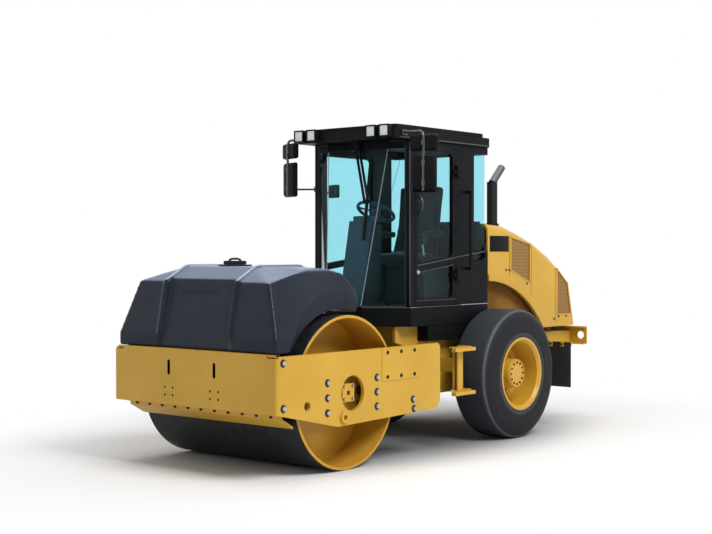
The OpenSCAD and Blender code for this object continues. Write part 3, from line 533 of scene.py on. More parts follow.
slotFinish = {
    "yellow_paint": enamelYellow, "black_paint": powderBlack, "tank_plastic": tankPoly,
    "drum_paint": drumPaint, "tyre_rubber": tyreRubber, "flap_rubber": sheetRubber,
    "bright_steel": zincSteel, "glass": tintedGlass, "seat_fabric": seatCloth,
    "trim_plastic": consoleAbs, "engine_iron": engineCasting, "vent_mesh": ventSheet}
ownFinish = {"exhaust": exhaustSteel, "inner_panels": wellShadeBrown, "seat_base": standAbs}
for part in frame["record"]["subparts"]:
    cadNode = frame["nodes"][part["node"]]
    cadNode.data.materials.clear()
    cadNode.data.materials.append(ownFinish.get(part["node"], slotFinish[part["material_slot"]]))
print("materials made:", len(bpy.data.materials))


# floor, light and camera

def seenRays(tree):  # rays of the camera, of mirrors and of glass see the white backdrop
    rays = addNode(tree, "ShaderNodeLightPath").outputs
    links = {0: rays["Is Camera Ray"], 1: rays["Is Transmission Ray"]}
    seen = addNode(tree, "ShaderNodeMath", {"operation": "MAXIMUM"}, links)
    links = {0: seen.outputs["Value"], 1: rays["Is Glossy Ray"]}
    return addNode(tree, "ShaderNodeMath", {"operation": "MAXIMUM"}, links).outputs["Value"]


def ovalShare(material, shape, near, far):  # 0 inside an oval round the origin, rising to 1 outside it
    tree = material.node_tree
    stretch = {"operation": "MULTIPLY", 1: shape}
    oval = addNode(tree, "ShaderNodeVectorMath", stretch, {0: placeOn(material)})
    reach = addNode(tree, "ShaderNodeVectorMath", {"operation": "LENGTH"}, {0: oval.outputs["Vector"]})
    rise = {"interpolation_type": "SMOOTHSTEP", "From Min": near, "From Max": far}
    return addNode(tree, "ShaderNodeMapRange", rise, {"Value": reach.outputs["Value"]}).outputs["Result"]


def makeFloor():  # paper white, with a painted shadow that greys it under the machine, fading into the white backdrop
    paper = {"size": 60, "colour": "#F7F7F7", "roughness": 0.9, "under": "#7E8084",
             "shadowShape": (0.55, 1, 0), "shadowInnerEdge": 0.5, "shadowOuterEdge": 1.65,
             "fadeShape": (0.75, 1, 0), "nearEdge": 1.7, "farEdge": 3.8}
    deselectAll()
    bpy.ops.mesh.primitive_plane_add(size=paper["size"], location=(0, 0, 0))
    floor = nameIt("floor")
    paperWhite = startMaterial("paperWhite", paper["colour"], paper["roughness"], {"Specular IOR Level": 0.1})
    tree = paperWhite.node_tree
    # painted shadow: inside an oval under the machine the paper's colour turns to the under grey
    clear = ovalShare(paperWhite, paper["shadowShape"], paper["shadowInnerEdge"], paper["shadowOuterEdge"])
    shadowGreys = {"data_type": "RGBA", mixFirst: linear(paper["under"]), mixSecond: linear(paper["colour"])}
    ground = addNode(tree, "ShaderNodeMix", shadowGreys, {mixShare: clear})
    feed(paperWhite, "Base Color", ground.outputs[mixResult])
    fade = ovalShare(paperWhite, paper["fadeShape"], paper["nearEdge"], paper["farEdge"])
    share = addNode(tree, "ShaderNodeMath", {"operation": "MULTIPLY"}, {0: fade, 1: seenRays(tree)})
    white = addNode(tree, "ShaderNodeEmission", {"Color": (1, 1, 1, 1), "Strength": 1.0})
    lit = tree.nodes["Principled BSDF"].outputs["BSDF"]
    links = {0: share.outputs["Value"], 1: lit, 2: white.outputs["Emission"]}
    mixed = addNode(tree, "ShaderNodeMixShader", {}, links)
    tree.links.new(mixed.outputs["Shader"], tree.nodes["Material Output"].inputs["Surface"])
    floor.data.materials.append(paperWhite)


def makeLights():
    aim = Vector((0, 0, 1))
    lights = {"keyLight": {"place": (1.5, 8.5, 9), "size": 5, "power": 1000},
              "fillLight": {"place": (9, -5, 5), "size": 7, "power": 70},
              "topLight": {"place": (-1, -1, 10), "size": 8, "power": 300}}
    for name, light in lights.items():
        deselectAll()
        bpy.ops.object.light_add(type="AREA", location=light["place"])
        lamp = bpy.context.object
        lamp.name = name
        lamp.data.size = light["size"]
        lamp.data.energy = light["power"]
        lamp.rotation_euler = (aim - Vector(light["place"])).to_track_quat("-Z", "Y").to_euler()


def makeWorld():  # an even light on the object, white to the camera
    sky = {"light": 0.34, "seen": 1.0, "colour": (1, 1, 1, 1)}
    world = bpy.data.worlds.new("studioWorld")
    scene.world = world
    world.use_nodes = True
    tree = world.node_tree
    ambient = tree.nodes["Background"]
    ambient.inputs["Color"].default_value = sky["colour"]
    ambient.inputs["Strength"].default_value = sky["light"]
    white = addNode(tree, "ShaderNodeBackground", {"Color": sky["colour"], "Strength": sky["seen"]})
    links = {0: seenRays(tree), 1: ambient.outputs["Background"], 2: white.outputs["Background"]}
    mixed = addNode(tree, "ShaderNodeMixShader", {}, links)
    tree.links.new(mixed.outputs["Shader"], tree.nodes["World Output"].inputs["Surface"])


def makeCamera():
    photoCamera = {"place": (9.438, 7.445, 1.713), "aim": (-0.76821, -0.64010, -0.01160), "lens": 65.97,
                   "sensor": 36, "reach": 200}
    deselectAll()
    bpy.ops.object.camera_add(location=photoCamera["place"])
    camera = bpy.context.object
    camera.name = "photoCamera"
    camera.rotation_euler = Vector(photoCamera["aim"]).to_track_quat("-Z", "Y").to_euler()
    camera.data.lens = photoCamera["lens"]
    camera.data.sensor_width = photoCamera["sensor"]
    camera.data.clip_end = photoCamera["reach"]
    scene.camera = camera


makeFloor()
makeLights()
makeWorld()
makeCamera()
scene.view_settings.view_transform = "Standard"
print("studio and camera set")


# bolts and washers

def hexBolt(sizes, headFinish):  # a hex head on a black washer, standing on +Z at the origin
    seat, top = sizes["washerHigh"], sizes["washerHigh"] + sizes["headHigh"]
    head = easedDisc("bolt", 6, sizes["head"], seat, top, sizes["head"] * 0.16)
    head.data.materials.append(headFinish)
    washer = easedDisc("boltWasher", 20, sizes["washer"], 0, seat, seat * 0.4)
    washer.data.materials.append(blackOxide)
    return smooth(joined([head, washer], "bolt"), 30)


def boltSet(name, sizes, spots, body, headFinish=blackOxide):
    give(copies(hexBolt(sizes, headFinish), name, spots), None, body)


def makeYokeBolts():
    plateBolt = {"head": 0.019, "headHigh": 0.014, "washer": 0.030, "washerHigh": 0.005, "face": 0.909}
    coverBolt = {"head": 0.011, "headHigh": 0.008, "washer": 0.016, "washerHigh": 0.003, "face": 0.914}
    scraper = {"x": 0.760, "z": 0.486, "pitch": 0.150, "eachSide": 5}
    plateSpots = [(0.797, 0.893), (0.795, 0.559), (-0.776, 0.496), (-0.789, 0.418)]  # (x from drumX, z)
    plateSpots += [(x, z) for x in (0.300, -0.300) for z in (0.711, 0.596, 0.481)]
    coverSpots = [(x, z) for x in (-0.432, -0.611, -0.789) for z in (0.902, 0.705)]
    for side, word in bothSides:
        spots = [facing((drumX + x, side * plateBolt["face"], z), (0, side, 0)) for x, z in plateSpots]
        boltSet("yokeBolts" + word, plateBolt, spots, "drum_frame", zincSteel)
        spots = [facing((drumX + x, side * coverBolt["face"], z), (0, side, 0)) for x, z in coverSpots]
        boltSet("coverBolts" + word, coverBolt, spots, "drum_frame")
    row = range(-scraper["eachSide"], scraper["eachSide"] + 1)
    spots = [facing((drumX + scraper["x"], i * scraper["pitch"], scraper["z"]), (1, 0, 0)) for i in row]
    boltSet("scraperBolts", coverBolt, spots, "drum_frame")


def paintHoleShade():  # painted shade: the walls of the front plate's bolt holes and slots are given dark blued steel
    hole = {"y": 0.255, "z": 0.617, "stepY": 0.045, "stepZ": 0.030, "radius": 0.011}
    slot = {"half": 0.0165, "low": 0.745, "high": 0.869}
    plate = frame["nodes"]["yoke_front_plate"]
    plate.data.materials.append(blackOxide)
    for face in plate.data.polygons:
        y, z = abs(face.center.y) - hole["y"], face.center.z
        bolted = math.hypot(abs(y) - hole["stepY"], abs(z - hole["z"]) - hole["stepZ"]) < hole["radius"]
        slotted = abs(y) < slot["half"] and slot["low"] < z < slot["high"]
        if abs(face.normal.x) < 0.5 and (bolted or slotted):
            face.material_index = 1


makeYokeBolts()
paintHoleShade()
print("yoke bolts made")


# tyres and wheels

def makeTyres():
    tyre = {"near": 0.555, "far": 0.955, "steps": 72}
    bead = ((0.306, 0.030), (0.330, 0.010), (0.348, 0.006))  # (radius, depth from the tyre's near face)
    wall = {"from": 0.352, "to": tyreRadius - 0.118, "steps": 8, "deep": 0.005, "bulge": 0.004}
    ring = {"spans": ((0.372, 0.386), (0.470, 0.484)), "high": 0.00084}
    shoulder = {"radius": tyreRadius - 0.115, "rise": 0.112, "deep": 0.066, "round": 0.062, "steps": 10}
    crown = {"radius": tyreRadius - 0.003, "rise": 0.0028, "steps": 8}
    profile = [(radius, tyre["near"] + deep) for radius, deep in bead]
    for i in range(wall["steps"] + 1):  # the bulging wall, from bead to shoulder
        t = i / wall["steps"]
        radius = wall["from"] + t * (wall["to"] - wall["from"])
        lift = ring["high"] if any(low < radius < high for low, high in ring["spans"]) else 0.0
        profile.append((radius, tyre["near"] + wall["deep"] - wall["bulge"] * math.sin(math.pi * t) - lift))
    edge = tyre["near"] + shoulder["deep"]
    for i in range(shoulder["steps"] + 1):
        a = math.pi / 2 * i / shoulder["steps"]
        radius = shoulder["radius"] + shoulder["rise"] * math.sin(a)
        profile.append((radius, edge - shoulder["round"] * math.cos(a)))
    middle = (tyre["near"] + tyre["far"]) / 2
    for i in range(1, crown["steps"] // 2 + 1):  # to the tread's middle
        t = i / crown["steps"]
        radius = crown["radius"] + crown["rise"] * math.sin(math.pi * t)
        profile.append((radius, edge + 2 * (middle - edge) * t))
    profile += [(radius, 2 * middle - y) for radius, y in reversed(profile[:-1])]
    for side, word in bothSides:
        turned = [(radius, side * y) for radius, y in profile]
        carcass = smooth(spinProfile("tyreCarcass" + word, turned, tyre["steps"]), 50)
        give(carcass, tyreRubber, "wheel_" + word.lower())
        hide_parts("tyre_" + word.lower())


def makeWheelBolts():
    nut = {"head": 0.017, "headHigh": 0.018, "washer": 0.024, "washerHigh": 0.004,
           "circle": 0.215, "face": 0.6985, "name": "wheelNuts", "finish": zincSteel}
    coverBolt = {"head": 0.008, "headHigh": 0.007, "washer": 0.011, "washerHigh": 0.002,
                 "circle": 0.098, "face": 0.893, "name": "hubBolts", "finish": blackOxide}
    count = 12
    lip = ((0.113, 0.891), (0.114, 0.898), (0.123, 0.898), (0.125, 0.891))  # raised edge of the hub cover
    for side, word in bothSides:
        body = "wheel_" + word.lower()
        for bolt in (nut, coverBolt):
            spots = []
            for i in range(count):
                a = 2 * math.pi * i / count
                x, z = axleX + bolt["circle"] * math.cos(a), axleZ + bolt["circle"] * math.sin(a)
                spots.append(facing((x, side * bolt["face"], z), (0, side, 0)))
            boltSet(bolt["name"] + word, bolt, spots, body, bolt["finish"])
        ring = spinProfile("hubLip" + word, [(radius, side * y) for radius, y in lip], 48)
        smooth(ring, 40)
        give(ring, enamelYellow, body)


makeTyres()
makeWheelBolts()
print("wheels dressed")


# water tank with moulded edges

def drumDisc(name, radius, wide, y):  # a cutter round the drum's axle
    deselectAll()
    bpy.ops.mesh.primitive_cylinder_add(
        vertices=128, radius=radius, depth=wide, location=(drumX, y, drumZ), rotation=(math.pi / 2, 0, 0))
    return settle(nameIt(name))


def makeTank():
    tank = {"lowY": 0.880, "highY": 0.734, "nose": 0.844, "rake": 0.086, "foot": 0.955, "high": 0.645,
            "rakeShare": 0.65, "ribRadius": 0.026, "voxel": 0.012, "softening": 14}
    arch = {"radius": 0.655, "wide": 2.2, "lip": 0.135, "lipY": 0.764, "lipWide": 0.4}
    panel = {"low": -0.050, "high": 0.640, "deep": 0.009, "half": tankRibY, "clear": 0.080}
    slot = {"low": 0.420, "high": 0.450, "deep": 0.022, "half": 0.215, "clear": 0.080}
    x, top, nose, foot, high = drumX, tank["highY"], tank["nose"], tank["foot"], tank["high"]
    front, crown = nose - tank["rake"], foot + high
    levels = (  # back and front edge, half width, lowest and highest share of the tank's height
        (0.540, nose, tank["lowY"], 0.0, 0.16), (-0.208, 0.795, top + 0.070, 0.43, 0.46),
        (-0.250, 0.776, top + 0.020, 0.60, 0.62), (-0.205, 0.700, top + 0.010, 0.74, 0.75),
        (-0.090, front, top - 0.006, 0.80, 0.81), (-0.110, 0.487, top - 0.020, 0.87, 0.91),
        (0.040, 0.300, top - 0.046, 0.96, 0.965), (0.060, 0.540, top - 0.380, 0.992, 1.0))
    blocks = []
    for back, ahead, wide, under, over in levels:
        low = (x + back, -wide, foot + under * high)
        blocks.append(boxAt("tankBlock", low, (x + ahead, wide, foot + over * high)))
    shell = joined(blocks, "tankShell")
    editAll(shell, "VERT")
    bpy.ops.mesh.convex_hull()
    endEdit()
    lean = math.atan2(tank["rake"], high * tank["rakeShare"])
    leaned = Matrix.Translation((x + nose - 0.002, 0, foot)) @ turnedY(-lean)
    for cut in (panel, slot):  # sunk middle panel and its upper slot
        low = (-cut["deep"], -cut["half"], cut["low"])
        cutter = boxAt("panelCut", low, (cut["clear"], cut["half"], cut["high"]))
        cutter.data.transform(leaned)
        cutBy(shell, cutter)
    route = ((nose - 0.010, foot + 0.105), (front + 0.002, foot + 0.81 * high), (0.540, crown - 0.006),
             (0.060, crown - 0.006), (-0.100, foot + 0.89 * high))  # up the front and back over the top
    ribs = []
    for y in (tankRibY, -tankRibY):
        ribs.append(rod("rib", [(x + ahead, y, z) for ahead, z in route], tank["ribRadius"]))
    shell = joined([shell] + ribs, "tankShell")
    applyModifier(shell, "REMESH", mode="VOXEL", voxel_size=tank["voxel"], use_smooth_shade=True)
    applyModifier(shell, "SMOOTH", factor=0.5, iterations=tank["softening"])
    cutBy(shell, drumDisc("archCut", arch["radius"], arch["wide"], 0))
    for side in (1, -1):
        y = side * (arch["lipY"] + arch["lipWide"] / 2)
        cutBy(shell, drumDisc("lipCut", arch["radius"] + arch["lip"], arch["lipWide"], y))
    smooth(shell, 35)
    give(shell, tankPoly, "drum_frame")
    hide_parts("water_tank")


def makeFillerCap():
    cap = {"x": drumX + 0.386, "foot": 1.642, "radius": 0.085, "grips": 24, "grip": 0.007, "handle": 0.009}
    bow = ((-0.068, -0.004), (-0.052, 0.010), (0, 0.016), (0.052, 0.010), (0.068, -0.004))
    grips = []
    for i in range(cap["grips"]):
        a = 2 * math.pi * i / cap["grips"]
        x, y = cap["x"] + cap["radius"] * math.cos(a), cap["radius"] * math.sin(a)
        grips.append(rod("grip", [(x, y, cap["foot"] + z) for z in (-0.026, -0.002)], cap["grip"]))
    give(joined(grips, "capGrips"), tankPoly, "drum_frame")
    handle = tube("capHandle", [(cap["x"], y, cap["foot"] + z) for y, z in bow], cap["handle"])
    give(handle, tankPoly, "drum_frame")


def makeHubPlates():
    hub = {"face": 0.864, "hole": 0.016, "bolt": 0.050}
    screw = {"head": 0.009, "headHigh": 0.007, "washer": 0.013, "washerHigh": 0.002}
    corners = [(u * hub["bolt"], v * hub["bolt"]) for u in (-1, 1) for v in (-1, 1)]
    holes, spots = [], []
    for side in (1, -1):
        y0, y1 = outward(side, hub["face"] - 0.004, hub["face"] + 0.002)
        low = (drumX - hub["hole"], y0, drumZ - hub["hole"])
        holes.append(boxAt("socket", low, (drumX + hub["hole"], y1, drumZ + hub["hole"])))
        spots += [facing((drumX + x, side * hub["face"], drumZ + z), (0, side, 0)) for x, z in corners]
    give(joined(holes, "hubSockets"), blackOxide, "drum_frame")
    boltSet("hubScrews", screw, spots, "drum_frame", zincSteel)


makeTank()
makeFillerCap()
makeHubPlates()
print("tank moulded")


# lamps and mirrors

def makeLamps():
    lamp = {"face": axleX + 1.461, "low": 2.700, "high": 2.804, "half": 0.052, "rim": 0.009, "over": 0.002,
            "places": (-0.490, -0.343, 0.343, 0.490)}
    lenses, rims = [], []
    for y in lamp["places"]:
        half, low, high = lamp["half"] - lamp["rim"], lamp["low"] + lamp["rim"], lamp["high"] - lamp["rim"]
        lens = ((lamp["face"] - 0.004, y - half, low), (lamp["face"] + 0.006, y + half, high))
        lenses.append(bevelledBox("lens", *lens, 0.005))
        half, low, high = lamp["half"] + lamp["over"], lamp["low"] - lamp["over"], lamp["high"] + lamp["over"]
        rim = boxAt("rim", (lamp["face"] - 0.002, y - half, low), (lamp["face"] + 0.010, y + half, high))
        editFaces(rim, lambda face: abs(face.normal.x) > 0.9)
        bpy.ops.mesh.inset(thickness=lamp["rim"])
        bpy.ops.mesh.bridge_edge_loops()
        endEdit()
        applyModifier(rim, "BEVEL", width=0.002, segments=2, limit_method="ANGLE")
        rims.append(rim)
    give(joined(lenses, "lampLenses"), lampLens, "rear_frame")
    give(joined(rims, "lampRims"), powderBlack, "rear_frame")


def mirrorCase(sizes, thick):  # a case whose front is drawn in, before it is turned to its place
    half = (0.5, sizes["wide"] / 2, sizes["high"] / 2)
    case = boxAt("mirrorCase", [-reach for reach in half], half)
    case.data.transform(Matrix.Diagonal((thick, 1, 1, 1)))
    editFaces(case, lambda face: face.normal.x > 0.9)
    bpy.ops.transform.resize(value=(1, 0.88, 0.90))
    endEdit()
    applyModifier(case, "BEVEL", width=0.022, segments=5, limit_method="ANGLE")
    return smooth(case, 50)


def makeMirrors():
    upper = {"z": 2.645, "wide": 0.270, "high": 0.150}
    lower = {"z": 2.380, "wide": 0.235, "high": 0.330}
    mirror = {"x": axleX + 1.270, "y": 0.774, "thick": 0.050, "turn": 20, "rim": 0.018}
    arm = {"x": axleX + 1.292, "y": 0.782, "radius": 0.012}
    clamp = {"places": (2.645, 2.470, 2.300), "half": 0.022, "radius": 0.019}
    route = ((0.575, 2.740), (0.700, 2.740), (0.765, 2.733),
             (arm["y"], 2.700), (arm["y"], 2.500), (arm["y"], 2.232))
    stay = ((axleX + 1.275, 0.724, 2.290), (axleX + 1.139, 0.556, 2.290))
    armFoot = {"x": (1.256, 1.327), "y": (0.574, 0.588), "z": (2.715, 2.765)}
    stayFoot = {"x": (1.111, 1.167), "y": (0.550, 0.572), "z": (2.265, 2.315)}
    for side, word in bothSides:
        cases, silver = [], []
        for sizes in (upper, lower):
            place = Matrix.Translation((mirror["x"], side * mirror["y"], sizes["z"]))
            turned = place @ turnedZ(math.radians(side * mirror["turn"]))
            case = mirrorCase(sizes, mirror["thick"])
            case.data.transform(turned)
            cases.append(case)
            back, y, z = (size / 2 for size in (mirror["thick"], sizes["wide"], sizes["high"]))
            y, z = y - mirror["rim"], z - mirror["rim"]
            glass = bevelledBox("mirrorGlass", (-back - 0.003, -y, -z), (-back + 0.006, y, z), 0.003, 2)
            glass.data.transform(turned)
            silver.append(glass)
        arms = [tube("mirrorArm", [(arm["x"], side * y, z) for y, z in route], arm["radius"]),
                rod("mirrorStay", [(x, side * y, z) for x, y, z in stay], 0.009)]
        for z in clamp["places"]:
            ends = [(arm["x"], side * arm["y"], z + reach) for reach in (-clamp["half"], clamp["half"])]
            arms.append(rod("mirrorClamp", ends, clamp["radius"]))
        for foot in (armFoot, stayFoot):
            y0, y1 = outward(side, *foot["y"])
            (x0, x1), (z0, z1) = foot["x"], foot["z"]
            arms.append(bevelledBox("mirrorFoot", (axleX + x0, y0, z0), (axleX + x1, y1, z1), 0.004, 2))
        case = give(joined(cases, "mirrorCases" + word), powderBlack, "rear_frame")
        give(joined(arms, "mirrorArms" + word), edgeGloss, "rear_frame")
        give(joined(silver, "mirrorGlass" + word), mirrorSilver, "rear_frame")
        if side > 0:
            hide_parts("mirrors")


makeLamps()
makeMirrors()
print("lamps and mirrors made")


# operator's seat

def cushion(name, low, high, crown):  # a crowned pad whose sides pull in between its corners
    pad = {"cuts": 11, "tuckX": 0.04, "tuckY": 0.05, "bulge": 0.024}
    channel = {"at": 0.45, "half": 0.06, "above": 0.8, "deep": 0.012}  # sewn; all but its depth in shares
    piece = boxAt(name, low, high)
    editAll(piece)
    bpy.ops.mesh.subdivide(number_cuts=pad["cuts"])
    endEdit()
    middle = [(a + b) / 2 for a, b in zip(low, high)]
    half = [(b - a) / 2 for a, b in zip(low, high)]
    for point in piece.data.vertices:
        u, v, w = [(point.co[i] - middle[i]) / half[i] for i in range(3)]
        if w > 0:
            point.co.z += crown * (1 - u * u) * (1 - v * v) * w
        bulge = pad["bulge"] * (1 - w * w)
        point.co.x -= u * half[0] * (pad["tuckX"] * (1 - v * v) - bulge)
        point.co.y -= v * half[1] * (pad["tuckY"] * (1 - u * u) - bulge)
        if abs(abs(v) - channel["at"]) < channel["half"] and w > channel["above"]:
            point.co.z -= channel["deep"]
    applyModifier(piece, "SUBSURF", levels=2, render_levels=2)
    return smooth(piece, 60)


def makeSeat():
    seat = {"low": (axleX + 0.300, -0.235, 1.592), "high": (axleX + 0.755, 0.235, 1.690), "crown": 0.030}
    rest = {"low": (-0.33, -0.225, -0.045), "high": (0.33, 0.225, 0.040), "place": (axleX + 0.312, 0, 1.99),
            "lean": math.atan2(0.085, 0.68)}
    arm = {"back": axleX + 0.340, "front": axleX + 0.640, "near": 0.250, "far": 0.310,
           "low": 1.850, "high": 1.905, "edge": 0.020}
    pad = cushion("seatPad", seat["low"], seat["high"], seat["crown"])
    back = cushion("seatBack", rest["low"], rest["high"], seat["crown"])
    upright = turnedY(-rest["lean"]) @ turnedY(math.pi / 2) @ turnedZ(math.pi)
    back.data.transform(Matrix.Translation(rest["place"]) @ upright)
    arms = []
    for side in (1, -1):
        y0, y1 = outward(side, arm["near"], arm["far"])
        low, high = (arm["back"], y0, arm["low"]), (arm["front"], y1, arm["high"])
        arms.append(bevelledBox("armRest", low, high, arm["edge"], 4))
    for piece in (pad, back, joined(arms, "armRests")):
        give(piece, seatCloth, "rear_frame")
    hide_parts("seat")


makeSeat()
print("seat made")


# hood trim: vent frames, seams, blank plate, grille, tail lamps and screws

def strip(name, points, y, wide, thick):  # a flat bar along a line on the hood's side, points in (x, z)
    bars = []
    for (x0, z0), (x1, z1) in zip(points, points[1:]):
        half = math.hypot(x1 - x0, z1 - z0) / 2 + wide / 2
        bar = boxAt(name, (-half, -thick / 2, -wide / 2), (half, thick / 2, wide / 2))
        middle = Matrix.Translation(((x0 + x1) / 2, y, (z0 + z1) / 2))
        bar.data.transform(middle @ turnedY(-math.atan2(z1 - z0, x1 - x0)))
        bars.append(bar)
    piece = joined(bars, name)
    applyModifier(piece, "BEVEL", width=min(wide, thick) * 0.3, segments=2, limit_method="ANGLE")
    return piece


def makeHoodTrim():
    ventFrame = {"wide": 0.014, "thick": 0.008, "lines": (
        ((-0.440, 1.856), (-0.781, 1.790), (-0.781, 1.410), (-0.440, 1.537), (-0.440, 1.856)),
        ((-1.294, 1.540), (-1.500, 1.390), (-1.570, 1.079), (-1.294, 1.079), (-1.294, 1.540)))}
    seam = {"wide": 0.004, "thick": 0.002, "lines": (
        ((-0.415, 1.865), (-0.415, 1.470)), ((-0.806, 1.775), (-0.806, 1.290)),
        ((-1.262, 1.55), (-1.262, 1.0)))}
    plate = {"back": axleX - 0.400, "front": axleX - 0.075, "low": 1.715, "high": 1.865,
             "sunk": 0.001, "proud": 0.003, "edge": 0.0015}
    trims = ((ventFrame, "ventFrames", enamelYellow, "yellow_paint"),
             (seam, "hoodSeams", powderBlack, "black_paint"))
    for side, word in bothSides:
        for trim, name, finish, slot in trims:
            bars = []
            for line in trim["lines"]:
                points = [(axleX + x, z) for x, z in line]
                bars.append(strip("trim", points, side * hoodSide, trim["wide"], trim["thick"]))
            give(joined(bars, name + word), finish, "hood")
        y0, y1 = outward(side, hoodSide - plate["sunk"], hoodSide + plate["proud"])
        low, high = (plate["back"], y0, plate["low"]), (plate["front"], y1, plate["high"])
        blank = bevelledBox("blankPlate" + word, low, high, plate["edge"], 2)
        give(blank, powderBlack, "hood")


def makeHoodRear():
    back = {"x": axleX - 1.611, "z": 1.2005, "lean": math.atan2(0.084, 0.341)}
    grille = {"wide": 0.340, "high": 0.125, "frame": 0.016, "louvres": 6, "turn": -35}
    cup = {"out": -0.014, "in": 0.002, "halfY": 0.036, "halfZ": 0.062}
    lens = {"out": -0.020, "in": -0.006, "halfY": 0.028, "halfZ": 0.054}
    lampY = 0.418
    leaned = Matrix.Translation((back["x"], 0, back["z"])) @ turnedY(back["lean"])  # -X looks out of the face
    w, h, f = grille["wide"], grille["high"], grille["frame"]
    mesh = boxAt("rearMesh", (-0.003, -w, -h), (0.002, w, h))
    mesh.data.transform(leaned)
    give(mesh, ventSheet, "hood")
    rails = ((-w - f, h, w + f, h + f), (-w - f, -h - f, w + f, -h), (-w - f, -h, -w, h), (w, -h, w + f, h),
             (-f / 2, -h, f / 2, h))
    bars = [bevelledBox("bar", (-0.011, y0, z0), (0.001, y1, z1), 0.003, 2) for y0, z0, y1, z1 in rails]
    for i in range(grille["louvres"]):
        z = -h + 2 * h * (i + 0.5) / grille["louvres"]
        louvre = bevelledBox("louvre", (-0.010, -w, -0.005), (0.010, w, 0.005), 0.002, 2)
        louvre.data.transform(Matrix.Translation((-0.002, 0, z)) @ turnedY(math.radians(grille["turn"])))
        bars.append(louvre)
    rearGrille = joined(bars, "rearGrille")
    rearGrille.data.transform(leaned)
    give(smooth(rearGrille, 40), enamelYellow, "hood")
    lamps = ((cup, "tailCups", powderBlack, "black_paint"), (lens, "tailLenses", tailLens, None))
    for sizes, name, finish, slot in lamps:
        pair = []
        for y in (lampY, -lampY):
            low = (sizes["out"], y - sizes["halfY"], -sizes["halfZ"])
            high = (sizes["in"], y + sizes["halfY"], sizes["halfZ"])
            pair.append(bevelledBox("tailLamp", low, high, 0.006))
        lamp = joined(pair, name)
        lamp.data.transform(leaned)
        give(lamp, finish, "hood")


def makeHoodScrews():
    screw = {"head": 0.008, "headHigh": 0.006, "washer": 0.013, "washerHigh": 0.002}
    places = ((-1.098, 1.539), (-1.152, 1.538), (-1.470, 1.402),
              (-1.978, 1.038), (-2.067, 1.058), (-2.212, 1.058))
    spots = [facing((x, side * hoodSide, z), (0, side, 0)) for x, z in places for side in (1, -1)]
    boltSet("hoodScrews", screw, spots, "hood")


makeHoodTrim()
makeHoodRear()
makeHoodScrews()
print("hood trimmed")


# cab trim

def makeCabEdges():
    edge = {"radius": 0.006, "lip": 0.005, "drop": 0.004, "railY": 0.573, "railUp": 0.012}
    panelBelt = ((-0.262, cabSkin, 1.664), (-0.722, cabSkin, 1.718))
    rearBelt = ((-0.722, -cabSkin, 1.718), (-0.352, -cabSkin, 1.675))
    postX = screen["postX"]
    floorRoute = ((axleX - 0.024, cabSkin), (postX - 0.020, cabSkin), (postX, cabSkin - 0.030),
                  (screen["lowX"], 0.211))
    edges = [rod("belt", belt, edge["radius"]) for belt in (panelBelt, rearBelt)]
    for side in (1, -1):
        points = [(x, side * y, cabFloor - edge["drop"]) for x, y in floorRoute]
        edges.append(rod("floorEdge", points, edge["radius"]))
        points = [(axleX + x, side * edge["railY"], cabRoof + edge["railUp"]) for x in (0.010, 1.350)]
        edges.append(rod("dripRail", points, edge["radius"]))
        points = [(postX - 0.004, side * (cabSkin - 0.004), z) for z in (cabFloor + 0.020, cabRoof - 0.020)]
        edges.append(rod("postLip", points, edge["lip"]))
    give(joined(edges, "cabEdges"), edgeGloss, "rear_frame")


def makePaneSeals():
    seam = {"radius": 0.0035, "inset": 0.010, "sunk": 0.001}
    seal = {"radius": 0.009, "inset": 0.006}
    lowX, lowY, highX, highY = screen["lowX"], screen["lowY"], screen["highX"], screen["highY"]
    seams, seals = [], []
    for side in (1, -1):
        foot = (lowX - seam["sunk"], side * lowY, cabFloor + seam["inset"])
        head = (highX - seam["sunk"], side * highY, cabRoof - seam["inset"])
        seams.append(rod("seam", (foot, head), seam["radius"]))
    give(joined(seams, "paneSeams"), paneSilicone, "rear_frame")
    low, high = cabFloor + seal["inset"], cabRoof - seal["inset"]
    for side in (1, -1):
        post = (screen["postX"], side * screen["postY"])
        points = ((lowX, side * lowY, low), (*post, low), (*post, high), (highX, side * highY, high))
        seals.append(rod("seal", points, seal["radius"]))
    seals.append(rod("seal", ((lowX, -lowY, low), (lowX, lowY, low)), seal["radius"]))
    give(joined(seals, "paneSeals"), sheetRubber, "rear_frame")


def makeSills():
    sill = {"near": 0.548, "far": 0.556, "low": 1.222, "edge": 0.003}
    spans = ((-0.024, 0.415, 1.234), (0.780, 1.000, 1.230))  # back and front from the axle, and top
    sills = []
    for side in (1, -1):
        y0, y1 = outward(side, sill["near"], sill["far"])
        for back, front, top in spans:
            low, high = (axleX + back, y0, sill["low"]), (axleX + front, y1, top)
            sills.append(bevelledBox("sill", low, high, sill["edge"], 2))
    give(joined(sills, "cabSills"), zincSteel, "rear_frame")


def makeWiper():  # two arms and a blade that follow the windscreen's slope
    arm = {"half": 0.019, "from": -0.045, "to": -0.568, "turn": math.radians(18),
           "off": 0.030, "radius": 0.012}
    blade = {"y": 0.177, "from": 0.150, "to": 0.890, "off": 0.020, "radius": 0.014}
    slope = Vector((screen["lowX"] - screen["highX"], 0, cabFloor - cabRoof)).normalized()
    out = Vector((-slope.z, 0, slope.x))
    cos, sin = math.cos(arm["turn"]), math.sin(arm["turn"])
    arms = []
    for y in (-arm["half"], arm["half"]):
        ends = []
        for z in (arm["from"], arm["to"]):
            head = Vector((screen["highX"], y * cos - z * sin, cabRoof))
            ends.append(head - slope * (y * sin + z * cos) + out * arm["off"])
        arms.append(rod("wiperArm", ends, arm["radius"]))
    head = Vector((screen["highX"], blade["y"], cabRoof)) + out * blade["off"]
    ends = [head + slope * blade[end] for end in ("from", "to")]
    arms.append(rod("wiperBlade", ends, blade["radius"]))
    give(joined(arms, "wiperArms"), powderBlack, "rear_frame")


